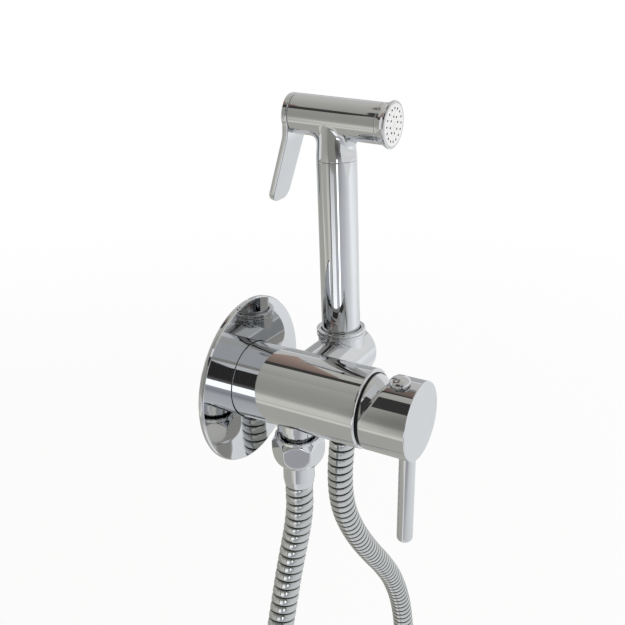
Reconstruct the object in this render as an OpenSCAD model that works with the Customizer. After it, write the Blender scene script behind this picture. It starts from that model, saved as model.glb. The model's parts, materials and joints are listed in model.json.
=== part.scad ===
// Single lever bidet mixer with a hand shower in a side holder and a metal hose.
// Millimetres. The wall plane is y = 0, the mixer stands out along -Y, +Z is up.

/* [Body] */
// Outer radius of the body cylinder
body_r = 20; // [18:0.5:24]
// Length of the body from the wall to its front face
body_len = 71.8; // [66:0.2:80]
// Rounding of the front edge of the body
body_edge = 1.2; // [0.6:0.1:1.8]
// Radius of the threaded shank behind the wall
shank_r = 16.5; // [14:0.25:18]
// Length of the threaded shank behind the wall
shank_len = 14; // [12:0.5:30]
// Radius of the thread bore of the two supply inlets
inlet_r = 4.46; // [4:0.01:5]
// Depth of the thread of the supply inlets
inlet_len = 11; // [8:0.5:12]
// Distance of each inlet from the body axis
inlet_off = 7; // [6.5:0.25:8]
// Radius of the inlet strainers
strainer_r = 3.7; // [3.5:0.1:3.9]
// Thickness of the inlet strainers
strainer_t = 2; // [1.5:0.1:3]
// Radius of the holes in the inlet strainers
mesh_r = 0.6; // [0.4:0.05:0.7]
// Radius of the water channels
channel_r = 3; // [2.5:0.1:3.4]
// Drop of the mixed water channel under the body axis
mixed_off = 8; // [7.5:0.25:9]

/* [Wall fixing] */
// Outer radius of the wall flange
flange_r = 43.7; // [38:0.1:50]
// Height of the flange face over the wall beside the body
flange_rise = 3; // [2.6:0.1:5]
// Sheet thickness of the wall flange
flange_t = 1; // [0.8:0.1:1.4]
// Width of the foam seal behind the flange
seal_w = 5; // [3:0.5:8]
// Thickness of the O-ring between flange and body
oring_d = 1.6; // [1.2:0.1:1.8]
// Panel thickness left between the wall plane and the back washer
panel_t = 3; // [2:0.5:4]
// Outer radius of the back washer
washer_r = 21; // [20:0.5:24]
// Thickness of the back washer
washer_t = 1.5; // [1:0.1:2]
// Width of the back nut over its flats
back_nut_af = 38; // [37:0.5:42]
// Thickness of the back nut
back_nut_t = 5; // [4:0.5:6]

/* [Cartridge] */
// Radius of the cartridge housing
cart_r = 13; // [12.5:0.1:13.5]
// Depth of the cartridge chamber from the body's front face
chamber_depth = 34; // [33:0.5:36]
// Height of the cartridge base
base_t = 5; // [4.5:0.1:5.5]
// Thickness of each ceramic disc
disc_t = 3; // [2.6:0.1:3.2]
// Radius of the moving ceramic disc and its carrier
disc_r = 8.2; // [7.8:0.1:8.4]
// Upward offset of the moving disc when the lever is down
disc_rest = 2.6; // [2.4:0.1:2.7]
// Height of the disc carrier
carrier_t = 5; // [4.5:0.1:5.4]
// Wall of the cartridge housing
cart_wall = 1.6; // [1.2:0.1:1.8]
// Length of the cartridge housing
cart_len = 21; // [20:0.25:22]
// Thickness of the top of the cartridge housing
cart_top = 2.4; // [2:0.1:3]
// Radius of the neck of the stem guide
guide_r = 8.2; // [7.8:0.1:8.6]
// Length of the guide neck in front of the housing
guide_out = 4.8; // [4.4:0.1:5.2]
// Thread radius of the cartridge nut
nut_r = 16.2; // [15.5:0.1:16.6]
// Thickness of the cartridge nut
nut_t = 4; // [3.5:0.1:4.2]
// Radius of the cartridge seals' cord
seal_d = 1.2; // [1:0.1:1.4]
// Radius of the water ports in base and fixed disc
port_r = 2.6; // [2.2:0.1:2.8]
// Land between a port and its seal
seal_land = 0.4; // [0.3:0.05:0.5]
// Length of the nut thread behind the cartridge nut
nut_lead = 2; // [1:0.1:2.5]
// Radius of the key holes in the cartridge nut
key_r = 1; // [0.8:0.1:1.2]
// Distance of the key holes from the nut's thread
key_in = 2.4; // [2.2:0.1:2.6]
// Radial wall of the dome cover's skirt
skirt_t = 1.6; // [1.4:0.1:1.8]

/* [Lever] */
// Distance of the stem pivot behind the body's front face
pivot_back = 5.8; // [5.4:0.1:6.2]
// Radius of the pivot pin
pivot_r = 1.5; // [1.2:0.1:1.7]
// Inset of the pivot pin's ends in the guide
pivot_inset = 0.6; // [0.4:0.1:1]
// Width of the square block of the stem
stem_w = 7; // [6.5:0.1:7.4]
// Radius of the round front of the stem
stem_r = 4.5; // [4.2:0.1:5]
// Length of the stem in front of the pivot
stem_len = 28.5; // [27:0.5:29]
// Length of the stem's tail behind the pivot
tail_len = 14; // [13.6:0.1:14.4]
// Radius of the stem's tail
tail_r = 2.2; // [1.9:0.1:2.4]
// Radius of the ball at the end of the tail
ball_r = 2.4; // [2.3:0.05:2.5]
// Outer radius of the dome cover
dome_r = 19; // [18.6:0.1:19.2]
// Wall of the dome cover
dome_t = 1.4; // [1:0.1:1.6]
// Radius of the opening in the dome for the stem
dome_open = 12; // [11.8:0.1:12.6]
// Outer radius of the lever cap
cap_r = 19.5; // [19.2:0.1:20]
// Gap between the body and the back edge of the lever cap
cap_gap = 1.8; // [1.6:0.1:2.4]
// Length of the lever cap
cap_len = 23.9; // [22:0.1:26]
// Rounding of the front edge of the lever cap
cap_edge = 0.5; // [0.3:0.1:1]
// Slant of the cut at the back of the cap
wedge_angle = 28.4; // [26:0.2:32]
// Height over the axis at which the slanted cut starts
wedge_z = 2.8; // [2:0.1:3]
// Radius of the lever pin
pin_r = 4.1; // [3.5:0.1:4.4]
// Reach of the lever pin below the axis
pin_reach = 69.7; // [55:0.1:80]
// Rounding of the end of the lever pin
pin_edge = 2.6; // [1:0.1:3.4]
// Depth of the lever pin in the cap
pin_depth = 8.5; // [7:0.5:10]
// Distance of the lever pin behind the cap's front face
pin_back = 6.4; // [5.4:0.1:7]
// Distance of the button behind the cap's front face
button_back = 9.7; // [9:0.1:10.5]
// Turn of the button from the top of the cap
button_turn = 11; // [0:1:20]
// Radius of the button
button_r = 5.1; // [4.5:0.1:5.6]
// Height of the button over the cap
button_h = 3.4; // [2.5:0.1:4]
// Rounding of the button's edge
button_edge = 2.4; // [1.2:0.1:2.8]
// Depth of the button's seat in the cap
button_in = 0.8; // [0.5:0.1:1.2]
// Length of the button's plug in the cap
plug_len = 4; // [3:0.25:4.5]
// Thread radius of the grub screw and the plug of the button
grub_r = 3; // [2.5:0.1:3.4]
// Length of the grub screw
grub_len = 6; // [5:0.5:8]

/* [Outlet and hose] */
// Distance of the outlet axis from the wall
outlet_s = 29.5; // [27:0.1:30]
// Radius of the outlet boss under the body
boss_r = 11; // [10.6:0.1:12]
// Drop of the boss under the body
boss_drop = 0.6; // [0.5:0.1:1.5]
// Radius of the nipple's spigot in the body
spigot_r = 7.2; // [6.8:0.1:7.6]
// Length of the nipple's spigot
spigot_len = 8; // [7:0.5:8.5]
// Thread radius of the nipple
nipple_r = 10.4; // [10:0.05:10.48]
// Length of the nipple's thread
nipple_len = 15.4; // [14:0.1:17]
// Bore radius of the nipple
nipple_bore = 5; // [4:0.1:5.5]
// Thickness of the hose washer
hose_washer_t = 2; // [1.5:0.1:3]
// Width of the hose nut over its flats
hose_nut_af = 24.4; // [24:0.1:27]
// Height of the hose nut
hose_nut_h = 17.2; // [16:0.1:19]
// Radius of the flat top ring of the hose nut
hose_nut_top = 12; // [11.8:0.1:12.4]
// Thickness of the floor of the hose nut
hose_nut_floor = 2.5; // [2:0.1:3.5]
// Height of the flat top ring of the hose nut
hose_nut_ring = 1.4; // [1:0.1:2]
// Height of the upper rounding of the hose nut's corners
hose_nut_upper = 4; // [3:0.1:5]
// Height of the lower rounding of the hose nut's corners
hose_nut_lower = 8; // [6:0.1:9]
// Inset of the hose nut's foot from its turned outside
hose_nut_foot = 5; // [4:0.1:5.4]
// Spare of the hose nut's turned outside over its corners
hose_nut_spare = 0.2; // [0.1:0.05:0.4]
// Turn of the hose nut's flats from the holder's direction
hose_nut_turn = 27; // [0:1:60]
// Thickness of the hose tail's flange
tail_flange_t = 2; // [1.5:0.1:2.5]
// Neck radius of the hose sleeves
sleeve_neck = 6; // [5.5:0.1:6.4]
// Radius of the crimped sleeve at the nut
sleeve_r = 8.25; // [7.8:0.05:9]
// Length of the crimped sleeve at the nut
sleeve_len = 13; // [10:0.5:18]
// Length of the taper at the sleeve's hose end
sleeve_taper = 5; // [3:0.5:8]
// Outer radius of the hose over its ribs
hose_r = 7.4; // [6.8:0.1:7.6]
// Radius of the hose between two ribs
hose_root = 6.7; // [6:0.1:6.8]
// Bore radius of the hose
hose_bore = 4; // [3.5:0.1:4.5]
// Number of ribs of the hose
ribs = 200; // [150:1:200]

/* [Holder] */
// Distance of the holder axis beside the body axis
holder_x = 42; // [40:0.5:48]
// Distance of the holder axis from the wall
holder_s = 32.6; // [31:0.1:33]
// Height of the arm axis over the body axis
arm_rise = 2; // [0:0.5:4]
// Lean of the holder axis towards the wall
lean = 1.6; // [0:0.1:3]
// Radius of the holder arm
arm_r = 14.5; // [14:0.1:16]
// Length of the arm beyond the holder axis
arm_end = 14.5; // [14:0.1:18]
// Rounding of the arm's end
arm_edge = 2; // [1:0.1:3]
// Radius of the stud between body and arm
stud_r = 4; // [3:0.1:4.5]
// Wall between the stud and the cartridge chamber
stud_wall = 0.7; // [0.5:0.1:2]
// Length of the stud in the arm
stud_out = 7; // [5:0.5:8]
// Outer radius of the holder collar
collar_r = 12.4; // [12.2:0.1:13]
// Wall of the holder collar
collar_t = 0.8; // [0.6:0.1:0.9]
// Height of the collar's rim over the arm axis
collar_top = 17.7; // [16:0.1:22]
// Depth of the collar under the arm axis
collar_low = 11; // [10:0.5:11.5]
// Radius of the two beads round the collar
bead_r = 0.7; // [0.5:0.1:1]
// Distance between the two beads
bead_step = 2.2; // [2:0.1:3]
// Height of the bush over the arm axis
bush_top = 8; // [6:0.5:10]
// Depth of the ledge under the arm axis
ledge = 4; // [3:0.1:5]
// Radius of the hole under the ledge
bush_hole = 8.6; // [8.5:0.1:9]

/* [Hand shower] */
// Radius of the handle tube
handle_r = 10.2; // [9.8:0.1:10.4]
// Length of the handle tube
handle_len = 111.4; // [95:0.2:130]
// Bore radius of the handle tube
handle_bore = 8.4; // [8:0.1:8.6]
// Height of the head axis over the top of the handle tube
head_up = 20.4; // [18:0.2:24]
// Droop of the head's front
droop = 3.6; // [0:0.2:6]
// Radius of the head
head_r = 10; // [9.6:0.1:10.4]
// Bore radius of the head
head_bore = 8.4; // [8:0.1:8.6]
// Reach of the head tube in front of the handle axis
head_front = 25.5; // [24:0.1:30]
// Reach of the head tube behind the handle axis
head_back = 22; // [20:0.1:24]
// Bore radius of the stem of the head
neck_bore = 6.5; // [5.5:0.1:7]
// Length of the spigot of the stem in the handle
neck_len = 8; // [6:0.5:12]
// Radius of the flared lip of the face ring
lip_r = 11.4; // [11:0.1:12]
// Length of the face ring in front of the head tube
ring_len = 5.9; // [5:0.1:7]
// Length of the face ring's thread in the head
ring_in = 6; // [4:0.5:8]
// Wall of the face ring in the head
ring_t = 1.4; // [1:0.1:1.6]
// Length of the flare of the face ring
flare_len = 4; // [3:0.1:5]
// Length of the straight lip of the face ring
lip_len = 1.4; // [1:0.1:2]
// Chamfer of the lip's front edge
lip_edge = 0.3; // [0.2:0.05:0.5]
// Radius of the spray plate
plate_r = 10.2; // [9.8:0.1:10.4]
// Thickness of the spray plate
plate_t = 1.6; // [1.2:0.1:2]
// Radius of the spray holes
spray_r = 0.45; // [0.3:0.05:0.6]
// Radius of the outer ring of spray holes
spray_outer = 7.9; // [7.6:0.1:8.2]
// Radius of the inner ring of spray holes
spray_inner = 4.1; // [3:0.1:5]
// Thickness of the plate gasket
gasket_t = 1; // [0.8:0.1:1.4]
// Land between the outer spray holes and the plate gasket
gasket_land = 0.4; // [0.2:0.05:0.6]
// Length of the tail fitting's thread in the handle
fitting_in = 12; // [10:0.5:16]
// Length of the tail fitting under the handle
fitting_out = 12; // [10:0.5:16]
// Radius of the tail fitting under the handle
fitting_r = 7.9; // [7.6:0.1:8.1]
// Length of the swivel sleeve of the hose
swivel_len = 13; // [10:0.5:18]
// Radius of the swivel sleeve of the hose
swivel_r = 7.7; // [7.4:0.1:8]
// Radius of the swivel spigot in the tail fitting
swivel_pin = 5; // [4.6:0.1:5.4]
// Length of the swivel spigot
swivel_in = 8; // [6:0.5:9]
// Length of the taper at the swivel's hose end
swivel_taper = 3; // [2:0.5:5]
// Thickness of the swivel seal
swivel_seal_t = 1.5; // [1:0.1:2]

/* [Trigger valve] */
// Thickness of the trigger plate
trigger_t = 3.3; // [2.8:0.1:3.6]
// Width of the trigger blade at its top
blade_top = 18; // [14:0.5:19]
// Width of the trigger blade at its end
blade_end = 16.4; // [12:0.2:18]
// Reach of the trigger blade under the head axis
blade_reach = 46; // [38:0.5:54]
// Depth under the head axis at which the blade bends
blade_bend = 11.2; // [10.6:0.1:13]
// Bend of the trigger blade away from the handle
blade_angle = 15; // [8:0.5:18]
// Corner radius at the end of the blade
blade_corner = 6; // [3:0.5:7]
// Depth of the trigger pin under the head axis
hinge_low = 6; // [5.8:0.1:6.3]
// Distance of the trigger pin in front of the tube's back end
hinge_in = 2.2; // [2:0.1:3]
// Radius of the trigger pin
hinge_r = 0.8; // [0.6:0.1:0.9]
// Radius of the trigger's lug round its pin
lug_r = 1.5; // [1.4:0.1:1.6]
// Width of the trigger's lug
lug_w = 4; // [3:0.5:5]
// Length of the trigger pin
hinge_len = 8; // [7:0.5:8.5]
// Slant of the relief that lets the trigger swing
relief = 16; // [14:0.5:20]
// Rise of the slot in the trigger for the valve stem
slot_rise = 1.6; // [1.2:0.1:2]
// Length of the valve end bush
bush_len = 10; // [8:0.5:11]
// Radius of the valve stem
rod_r = 2.6; // [2.2:0.1:2.8]
// Radius of the valve stem's thin end
rod_end_r = 1.8; // [1.4:0.1:2]
// Length of the valve stem's thin end
rod_end_len = 7.6; // [7:0.1:8]
// Radius of the stem nut behind the trigger
stem_nut_r = 3.5; // [3:0.1:4]
// Height of the stem nut
stem_nut_h = 3; // [2.5:0.1:4]
// Rounding of the stem nut's back edge
stem_nut_edge = 1.4; // [0.8:0.1:1.6]
// Thickness of the closed end of the stem nut
stem_nut_end = 0.5; // [0.4:0.05:0.8]
// Distance of the valve seat in front of the handle axis
seat_in = 5; // [4.5:0.1:7]
// Thickness of the valve seat
seat_t = 4; // [3:0.1:5]
// Radius of the hole in the valve seat
seat_hole = 4.5; // [3.5:0.1:5]
// Radius of the stem seal
stem_seal_r = 6.4; // [6:0.1:7]
// Thickness of the stem seal
stem_seal_t = 2.5; // [2:0.1:3.5]
// Thickness of the stem collar behind the seal
stem_collar_t = 1.5; // [1:0.1:2]
// Radius of the stem collar behind the seal
stem_collar_r = 5.6; // [5.2:0.1:6]
// Mean radius of the stem spring
coil_r = 4.6; // [4.2:0.1:5]
// Wire radius of the stem spring
wire_r = 0.5; // [0.4:0.05:0.7]
// Number of turns of the stem spring
turns = 5; // [4:1:6]

/* [Fits] */
// Free gap round turning and sliding pieces
run_gap = 0.4; // [0.35:0.01:0.45]
// Radial gap of a pin that turns in its hole
pin_gap = 0.05; // [0.03:0.01:0.08]
// Gap between flat faces that rest on each other and part again
rest_gap = 0.1; // [0.05:0.01:0.15]
// Play round the cartridge and the flange
slip = 0.3; // [0.2:0.02:0.35]

/* [Hidden] */
$fn = 96;

chrome = "#c9ccd0";
brass = "#b99a55";
rubber = "#2b2b2b";
plastic = "#e8e6df";
ceramic = "#f4f1ea";

// Places along the body axis, measured from the wall
floor_s = body_len - chamber_depth;
base_s = floor_s + slip;
disc_s = base_s + base_t;
moving_s = disc_s + disc_t + rest_gap;
carrier_s = moving_s + disc_t;
guide_s = carrier_s + carrier_t + run_gap;
housing_end = disc_s + cart_len;
ceiling_s = housing_end - cart_top;
thread_s = housing_end - nut_lead;
pivot_s = body_len - pivot_back;
cap_s = body_len + cap_gap;
cap_front = cap_s + cap_len;
cavity_r = dome_r + run_gap;
cart_in = cart_r - cart_wall;
neck_hole = guide_r + run_gap;
slot_x = stem_w / 2 + run_gap;
stud_in = body_r - cart_r - slip - stud_wall;
ports = [[inlet_off, 0], [-inlet_off, 0], [0, -mixed_off]];

// Places under the outlet, measured down from the body axis
boss_z = body_r + boss_drop;
nipple_z = boss_z + nipple_len;
tail_z = nipple_z + hose_washer_t;
seat_z = tail_z + tail_flange_t;
nut_low = seat_z + hose_nut_floor;
sleeve_z = nut_low + rest_gap;
hose_z = sleeve_z + sleeve_len;

// Places along the holder axis, measured up from the arm axis
handle_h = rest_gap - ledge;
handle_top = handle_h + handle_len;
head_h = handle_top + head_up;
fitting_h = handle_h - fitting_out;
swivel_h = fitting_h - rest_gap;
collar_in = collar_r - collar_t;

// Places along the head axis, measured forward from the handle axis
plate_z = -head_back - slip;
ring_front = head_front + ring_len;
hinge_z = hinge_in - head_back;
rod_front = seat_in - rest_gap;
seal_back = rod_front - stem_seal_t;
collar_back = seal_back - stem_collar_t;
bush_front = bush_len - head_back;
nut_z = plate_z - trigger_t - rest_gap;
lug_gap = lug_r + run_gap;
rod_step = nut_z + rod_end_len - stem_nut_h + stem_nut_end;

// Centreline of the hose from the nut to the shower
hose_end = swivel_h - swivel_len - rest_gap;
function hand_at(h) = [holder_x, h * sin(lean) - holder_s, h * cos(lean) + arm_rise];
route = [[0, -outlet_s, -hose_z], [0, -outlet_s, -hose_z - 7], [0, -outlet_s, -hose_z - 15],
    [-0.9, -28.3, -84], [-3.2, -26.7, -98], [-7, -25.3, -115], [-13, -24.5, -137],
    [-22, -24.5, -163], [-33, -24.5, -194], [-43, -25, -230], [-50, -25.5, -270], [-52, -26, -314],
    [-48, -26.5, -357], [-36, -27, -398], [-16, -28, -432], [13, -29, -456], [48, -29.5, -465],
    [84, -30, -457], [114, -30, -434], [136, -30, -400], [148, -30, -359], [151, -30, -316],
    [148, -30, -275], [139, -30, -239], [124, -30, -208], [106.5, -30, -183], [89.5, -30, -162],
    [74, -30, -142], [61, -30, -123], [51, -30.2, -105], [45, -30.8, -89], [41.9, -31.7, -73],
    [41.2, -32.8, -58], hand_at(hose_end - 15), hand_at(hose_end - 7), hand_at(hose_end)];

// Turns a piece drawn along +Z so that it stands out from the wall
module out(s = 0) {
    rotate([90, 0, 0])
        translate([0, 0, s])
            children();
}

// Places a piece drawn downwards from the body axis at the outlet
module down(s, z = 0) {
    translate([0, -s, -z])
        children();
}

// Places a piece drawn along the leaning holder axis
module in_hand(h = 0) {
    translate([holder_x, -holder_s, arm_rise])
        rotate([-lean, 0, 0])
            translate([0, 0, h])
                children();
}

// Places a piece drawn along the head axis, forward is +Z
module in_head(z = 0) {
    in_hand(head_h)
        rotate([90 + droop, 0, 0])
            translate([0, 0, z])
                children();
}

// Rod with a rounded far edge
module rounded_rod(r, len, edge) {
    rotate_extrude() {
        square([r - edge, len]);
        square([r, len - edge]);
        translate([r - edge, len - edge])
            intersection() {
                circle(edge);
                square(edge);
            }
    }
}

// Straight ring along +Z
module ring(outer, inner, len) {
    difference() {
        cylinder(r = outer, h = len);
        translate([0, 0, -1])
            cylinder(r = inner, h = len + 2);
    }
}

// Round ring lying flat
module torus(mean, cord) {
    rotate_extrude()
        translate([mean, 0])
            circle(cord);
}

// Hexagon of a given width over its flats
module hexagon(af, len) {
    cylinder(r = af / 2 / cos(30), h = len, $fn = 6);
}

// Places a piece drawn upwards from the body axis, turned about that axis
module radial(s, turn) {
    out(s)
        rotate([0, 0, turn])
            rotate([-90, 0, 0])
                children();
}

module valve_body() {
    color(chrome)
        difference() {
            union() {
                out()
                    rounded_rod(body_r, body_len, body_edge);
                out(-shank_len)
                    cylinder(r = shank_r, h = shank_len + 1);
                down(outlet_s, boss_z)
                    cylinder(r = boss_r, h = boss_z);
            }
            out(floor_s)
                cylinder(r = cart_r + slip, h = chamber_depth + 1);
            out(thread_s)
                cylinder(r = nut_r, h = body_len);
            for (side = [-1, 1]) {
                out(-shank_len - 1)
                    translate([side * inlet_off, 0, 0])
                        cylinder(r = inlet_r, h = inlet_len + 1);
                out(-shank_len)
                    translate([side * inlet_off, 0, 0])
                        cylinder(r = strainer_r, h = inlet_len + strainer_t);
                out(-shank_len)
                    translate([side * inlet_off, 0, 0])
                        cylinder(r = channel_r, h = shank_len + floor_s + 1);
            }
            out(outlet_s)
                translate([0, -mixed_off, 0])
                    cylinder(r = channel_r, h = floor_s - outlet_s + 1);
            down(outlet_s, boss_z + 1)
                cylinder(r = channel_r, h = boss_z + 1 - mixed_off);
            down(outlet_s, boss_z + 1)
                cylinder(r = spigot_r, h = spigot_len + 1);
            translate([body_r - stud_in, -holder_s, arm_rise])
                rotate([0, 90, 0])
                    cylinder(r = stud_r, h = stud_in + 5);
        }
}

module wall_flange() {
    color(chrome)
        out()
            rotate_extrude()
                difference() {
                    union() {
                        translate([body_r + slip, 0])
                            square([flange_r - flange_rise - body_r - slip, flange_rise]);
                        translate([flange_r - flange_rise, 0])
                            intersection() {
                                circle(flange_rise);
                                square(flange_rise);
                            }
                    }
                    translate([body_r - 1, -1])
                        square([flange_r - flange_rise - body_r + 1, flange_rise + 1 - flange_t]);
                    translate([flange_r - flange_rise, 0])
                        circle(flange_rise - flange_t);
                }
}

module flange_seal() {
    color(rubber)
        out()
            ring(flange_r - flange_rise, flange_r - flange_rise - seal_w, flange_rise - flange_t);
}

module flange_oring() {
    color(rubber)
        out(flange_rise - flange_t - oring_d / 2)
            torus(body_r + oring_d / 2, oring_d / 2);
}

module back_washer() {
    color(chrome)
        out(-panel_t - washer_t)
            ring(washer_r, shank_r, washer_t);
}

module back_nut() {
    color(brass)
        out(-panel_t - washer_t - back_nut_t)
            difference() {
                hexagon(back_nut_af, back_nut_t);
                translate([0, 0, -1])
                    cylinder(r = shank_r, h = back_nut_t + 2);
            }
}

module strainer(side) {
    color(plastic)
        out(-shank_len + inlet_len)
            translate([side * inlet_off, 0, 0])
                difference() {
                    cylinder(r = strainer_r, h = strainer_t);
                    for (spot = [0:60:300])
                        rotate([0, 0, spot])
                            translate([strainer_r / 2, 0, -1])
                                cylinder(r = mesh_r, h = strainer_t + 2);
                    translate([0, 0, -1])
                        cylinder(r = mesh_r, h = strainer_t + 2);
                }
}

module cold_strainer() {
    strainer(-1);
}

module hot_strainer() {
    strainer(1);
}

module cartridge_seals() {
    color(rubber)
        out(floor_s)
            for (port = ports)
                translate([port[0], port[1], 0])
                    ring(port_r + seal_land + seal_d, port_r + seal_land, seal_d);
}

module cartridge_base() {
    color(plastic)
        out(base_s)
            difference() {
                cylinder(r = cart_r, h = base_t);
                for (port = ports)
                    translate([port[0], port[1], -1]) {
                        cylinder(r = port_r, h = base_t + 2);
                        cylinder(r = port_r + seal_land + seal_d, h = 1 + seal_d - slip);
                    }
            }
}

module fixed_disc() {
    color(ceramic)
        out(disc_s)
            difference() {
                cylinder(r = cart_in - run_gap, h = disc_t);
                for (port = ports)
                    translate([port[0], port[1], -1])
                        cylinder(r = port_r, h = disc_t + 2);
            }
}

module moving_disc() {
    color(ceramic)
        out(moving_s)
            translate([0, disc_rest, 0])
                difference() {
                    cylinder(r = disc_r, h = disc_t);
                    translate([0, -disc_rest, -1])
                        cylinder(r = disc_r / 2, h = disc_t / 2 + 1);
                }
}

module disc_carrier() {
    color(plastic)
        out(carrier_s)
            difference() {
                translate([0, disc_rest, 0])
                    cylinder(r = disc_r, h = carrier_t);
                translate([0, 0, -1])
                    cylinder(r = ball_r + 2 * run_gap, h = carrier_t + 2);
            }
}

module cartridge_housing() {
    color(plastic)
        out(disc_s)
            difference() {
                cylinder(r = cart_r, h = cart_len);
                translate([0, 0, -1])
                    cylinder(r = cart_in, h = cart_len - cart_top + 1);
                cylinder(r = neck_hole, h = cart_len + 1);
            }
}

module stem_guide() {
    color(plastic)
        difference() {
            union() {
                out(guide_s)
                    cylinder(r = cart_in - run_gap, h = ceiling_s - run_gap - guide_s);
                out(guide_s)
                    cylinder(r = guide_r, h = housing_end + guide_out - guide_s);
            }
            out(guide_s - 1)
                translate([-slot_x, -guide_r - run_gap, 0])
                    cube([2 * slot_x, 2 * guide_r - 2, cart_len]);
            translate([-guide_r, -pivot_s, 0])
                rotate([0, 90, 0])
                    cylinder(r = pivot_r, h = 2 * guide_r);
        }
}

module pivot_pin() {
    color(chrome)
        translate([pivot_inset - guide_r, -pivot_s, 0])
            rotate([0, 90, 0])
                cylinder(r = pivot_r, h = 2 * guide_r - 2 * pivot_inset);
}

module lever_stem() {
    color(brass)
        difference() {
            union() {
                out(pivot_s - tail_len)
                    sphere(ball_r);
                out(pivot_s - tail_len)
                    cylinder(r = tail_r, h = tail_len);
                out(pivot_s - stem_w)
                    translate([-stem_w / 2, -stem_w / 2, 0])
                        cube([stem_w, stem_w, 2 * stem_w + 2]);
                out(pivot_s + stem_w)
                    cylinder(r = stem_r, h = stem_len - stem_w);
            }
            translate([-stem_w, -pivot_s, 0])
                rotate([0, 90, 0])
                    cylinder(r = pivot_r + pin_gap, h = 2 * stem_w);
        }
}

module cartridge_nut() {
    color(brass)
        out(housing_end)
            difference() {
                cylinder(r = nut_r, h = nut_t);
                translate([0, 0, -1])
                    cylinder(r = cart_in - 1, h = nut_t + 2);
                for (spot = [0:60:300])
                    rotate([0, 0, spot])
                        translate([nut_r - key_in, 0, nut_t / 2])
                            cylinder(r = key_r, h = nut_t);
            }
}

module dome_cover() {
    color(chrome)
        difference() {
            union() {
                intersection() {
                    out(pivot_s)
                        sphere(dome_r);
                    out(body_len)
                        cylinder(r = body_r, h = dome_r);
                }
                out(housing_end + nut_t)
                    cylinder(r = nut_r, h = body_len - housing_end - nut_t + 1);
            }
            intersection() {
                out(pivot_s)
                    sphere(dome_r - dome_t);
                out(body_len + 1)
                    cylinder(r = body_r, h = dome_r);
            }
            out(housing_end)
                cylinder(r = nut_r - skirt_t, h = body_len + 1.01 - housing_end);
            out(pivot_s)
                cylinder(r = dome_open, h = dome_r + 1);
        }
}

module lever_cap() {
    color(chrome)
        difference() {
            out(cap_s)
                rounded_rod(cap_r, cap_len, cap_edge);
            out(pivot_s)
                sphere(cavity_r);
            out(pivot_s)
                cylinder(r = stem_r, h = stem_len + slip);
            out(cap_s)
                translate([0, wedge_z, 0])
                    rotate([wedge_angle, 0, 0])
                        translate([-cap_r - 1, 0, -cap_len])
                            cube([2 * cap_r + 2, 2 * cap_r, cap_len]);
            down(cap_front - pin_back, cap_r + 1)
                cylinder(r = pin_r, h = pin_depth + 1);
            radial(cap_front - button_back, button_turn)
                cylinder(r = grub_r, h = cap_r + 1);
            radial(cap_front - button_back, button_turn)
                translate([0, 0, cap_r - button_in])
                    cylinder(r = button_r, h = button_r);
        }
}

module lever_pin() {
    color(chrome)
        translate([0, pin_back - cap_front, pin_depth - cap_r])
            rotate([180, 0, 0])
                rounded_rod(pin_r, pin_reach - cap_r + pin_depth, pin_edge);
}

module grub_screw() {
    color(brass)
        radial(cap_front - button_back, button_turn)
            translate([0, 0, stem_r])
                difference() {
                    cylinder(r = grub_r, h = grub_len);
                    translate([0, 0, grub_len / 2])
                        cylinder(r = grub_r / 2, h = grub_len, $fn = 6);
                }
}

module lever_button() {
    color(chrome)
        radial(cap_front - button_back, button_turn)
            translate([0, 0, cap_r - button_in]) {
                rounded_rod(button_r, button_h + button_in, button_edge);
                translate([0, 0, -plug_len])
                    cylinder(r = grub_r, h = plug_len + 0.5);
            }
}

module outlet_nipple() {
    color(chrome)
        down(outlet_s, nipple_z)
            difference() {
                union() {
                    cylinder(r = nipple_r, h = nipple_len);
                    cylinder(r = spigot_r, h = nipple_len + spigot_len);
                }
                translate([0, 0, -1])
                    cylinder(r = nipple_bore, h = nipple_len + spigot_len + 2);
            }
}

module hose_washer() {
    color(rubber)
        down(outlet_s, tail_z)
            ring(nipple_r, nipple_bore, hose_washer_t);
}

module hose_nut() {
    turned = hose_nut_af / 2 / cos(30) + hose_nut_spare;
    color(chrome)
        down(outlet_s, nut_low)
            difference() {
                intersection() {
                    rotate([0, 0, hose_nut_turn - 30])
                        hexagon(hose_nut_af, hose_nut_h);
                    rotate_extrude()
                        polygon(concat([[0, 0]],
                            [for (a = [90:-18:0]) [turned - hose_nut_foot * (1 - cos(a)),
                                hose_nut_lower * (1 - sin(a))]],
                            [[turned, hose_nut_h - hose_nut_upper], [hose_nut_top, hose_nut_h - hose_nut_ring],
                                [hose_nut_top, hose_nut_h], [0, hose_nut_h]]));
                }
                translate([0, 0, hose_nut_floor])
                    cylinder(r = nipple_r, h = hose_nut_h);
                translate([0, 0, -1])
                    cylinder(r = sleeve_neck, h = hose_nut_floor + 2);
            }
}

module hose_sleeve() {
    color(chrome)
        down(outlet_s, hose_z)
            difference() {
                union() {
                    rotate_extrude()
                        polygon([[0, 0], [hose_r, 0], [sleeve_r, sleeve_taper], [sleeve_r, sleeve_len],
                            [0, sleeve_len]]);
                    cylinder(r = sleeve_neck, h = hose_z - seat_z + 0.5);
                    translate([0, 0, hose_z - seat_z])
                        cylinder(r = nipple_r, h = tail_flange_t);
                }
                translate([0, 0, -1])
                    cylinder(r = hose_bore, h = hose_z);
            }
}

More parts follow.
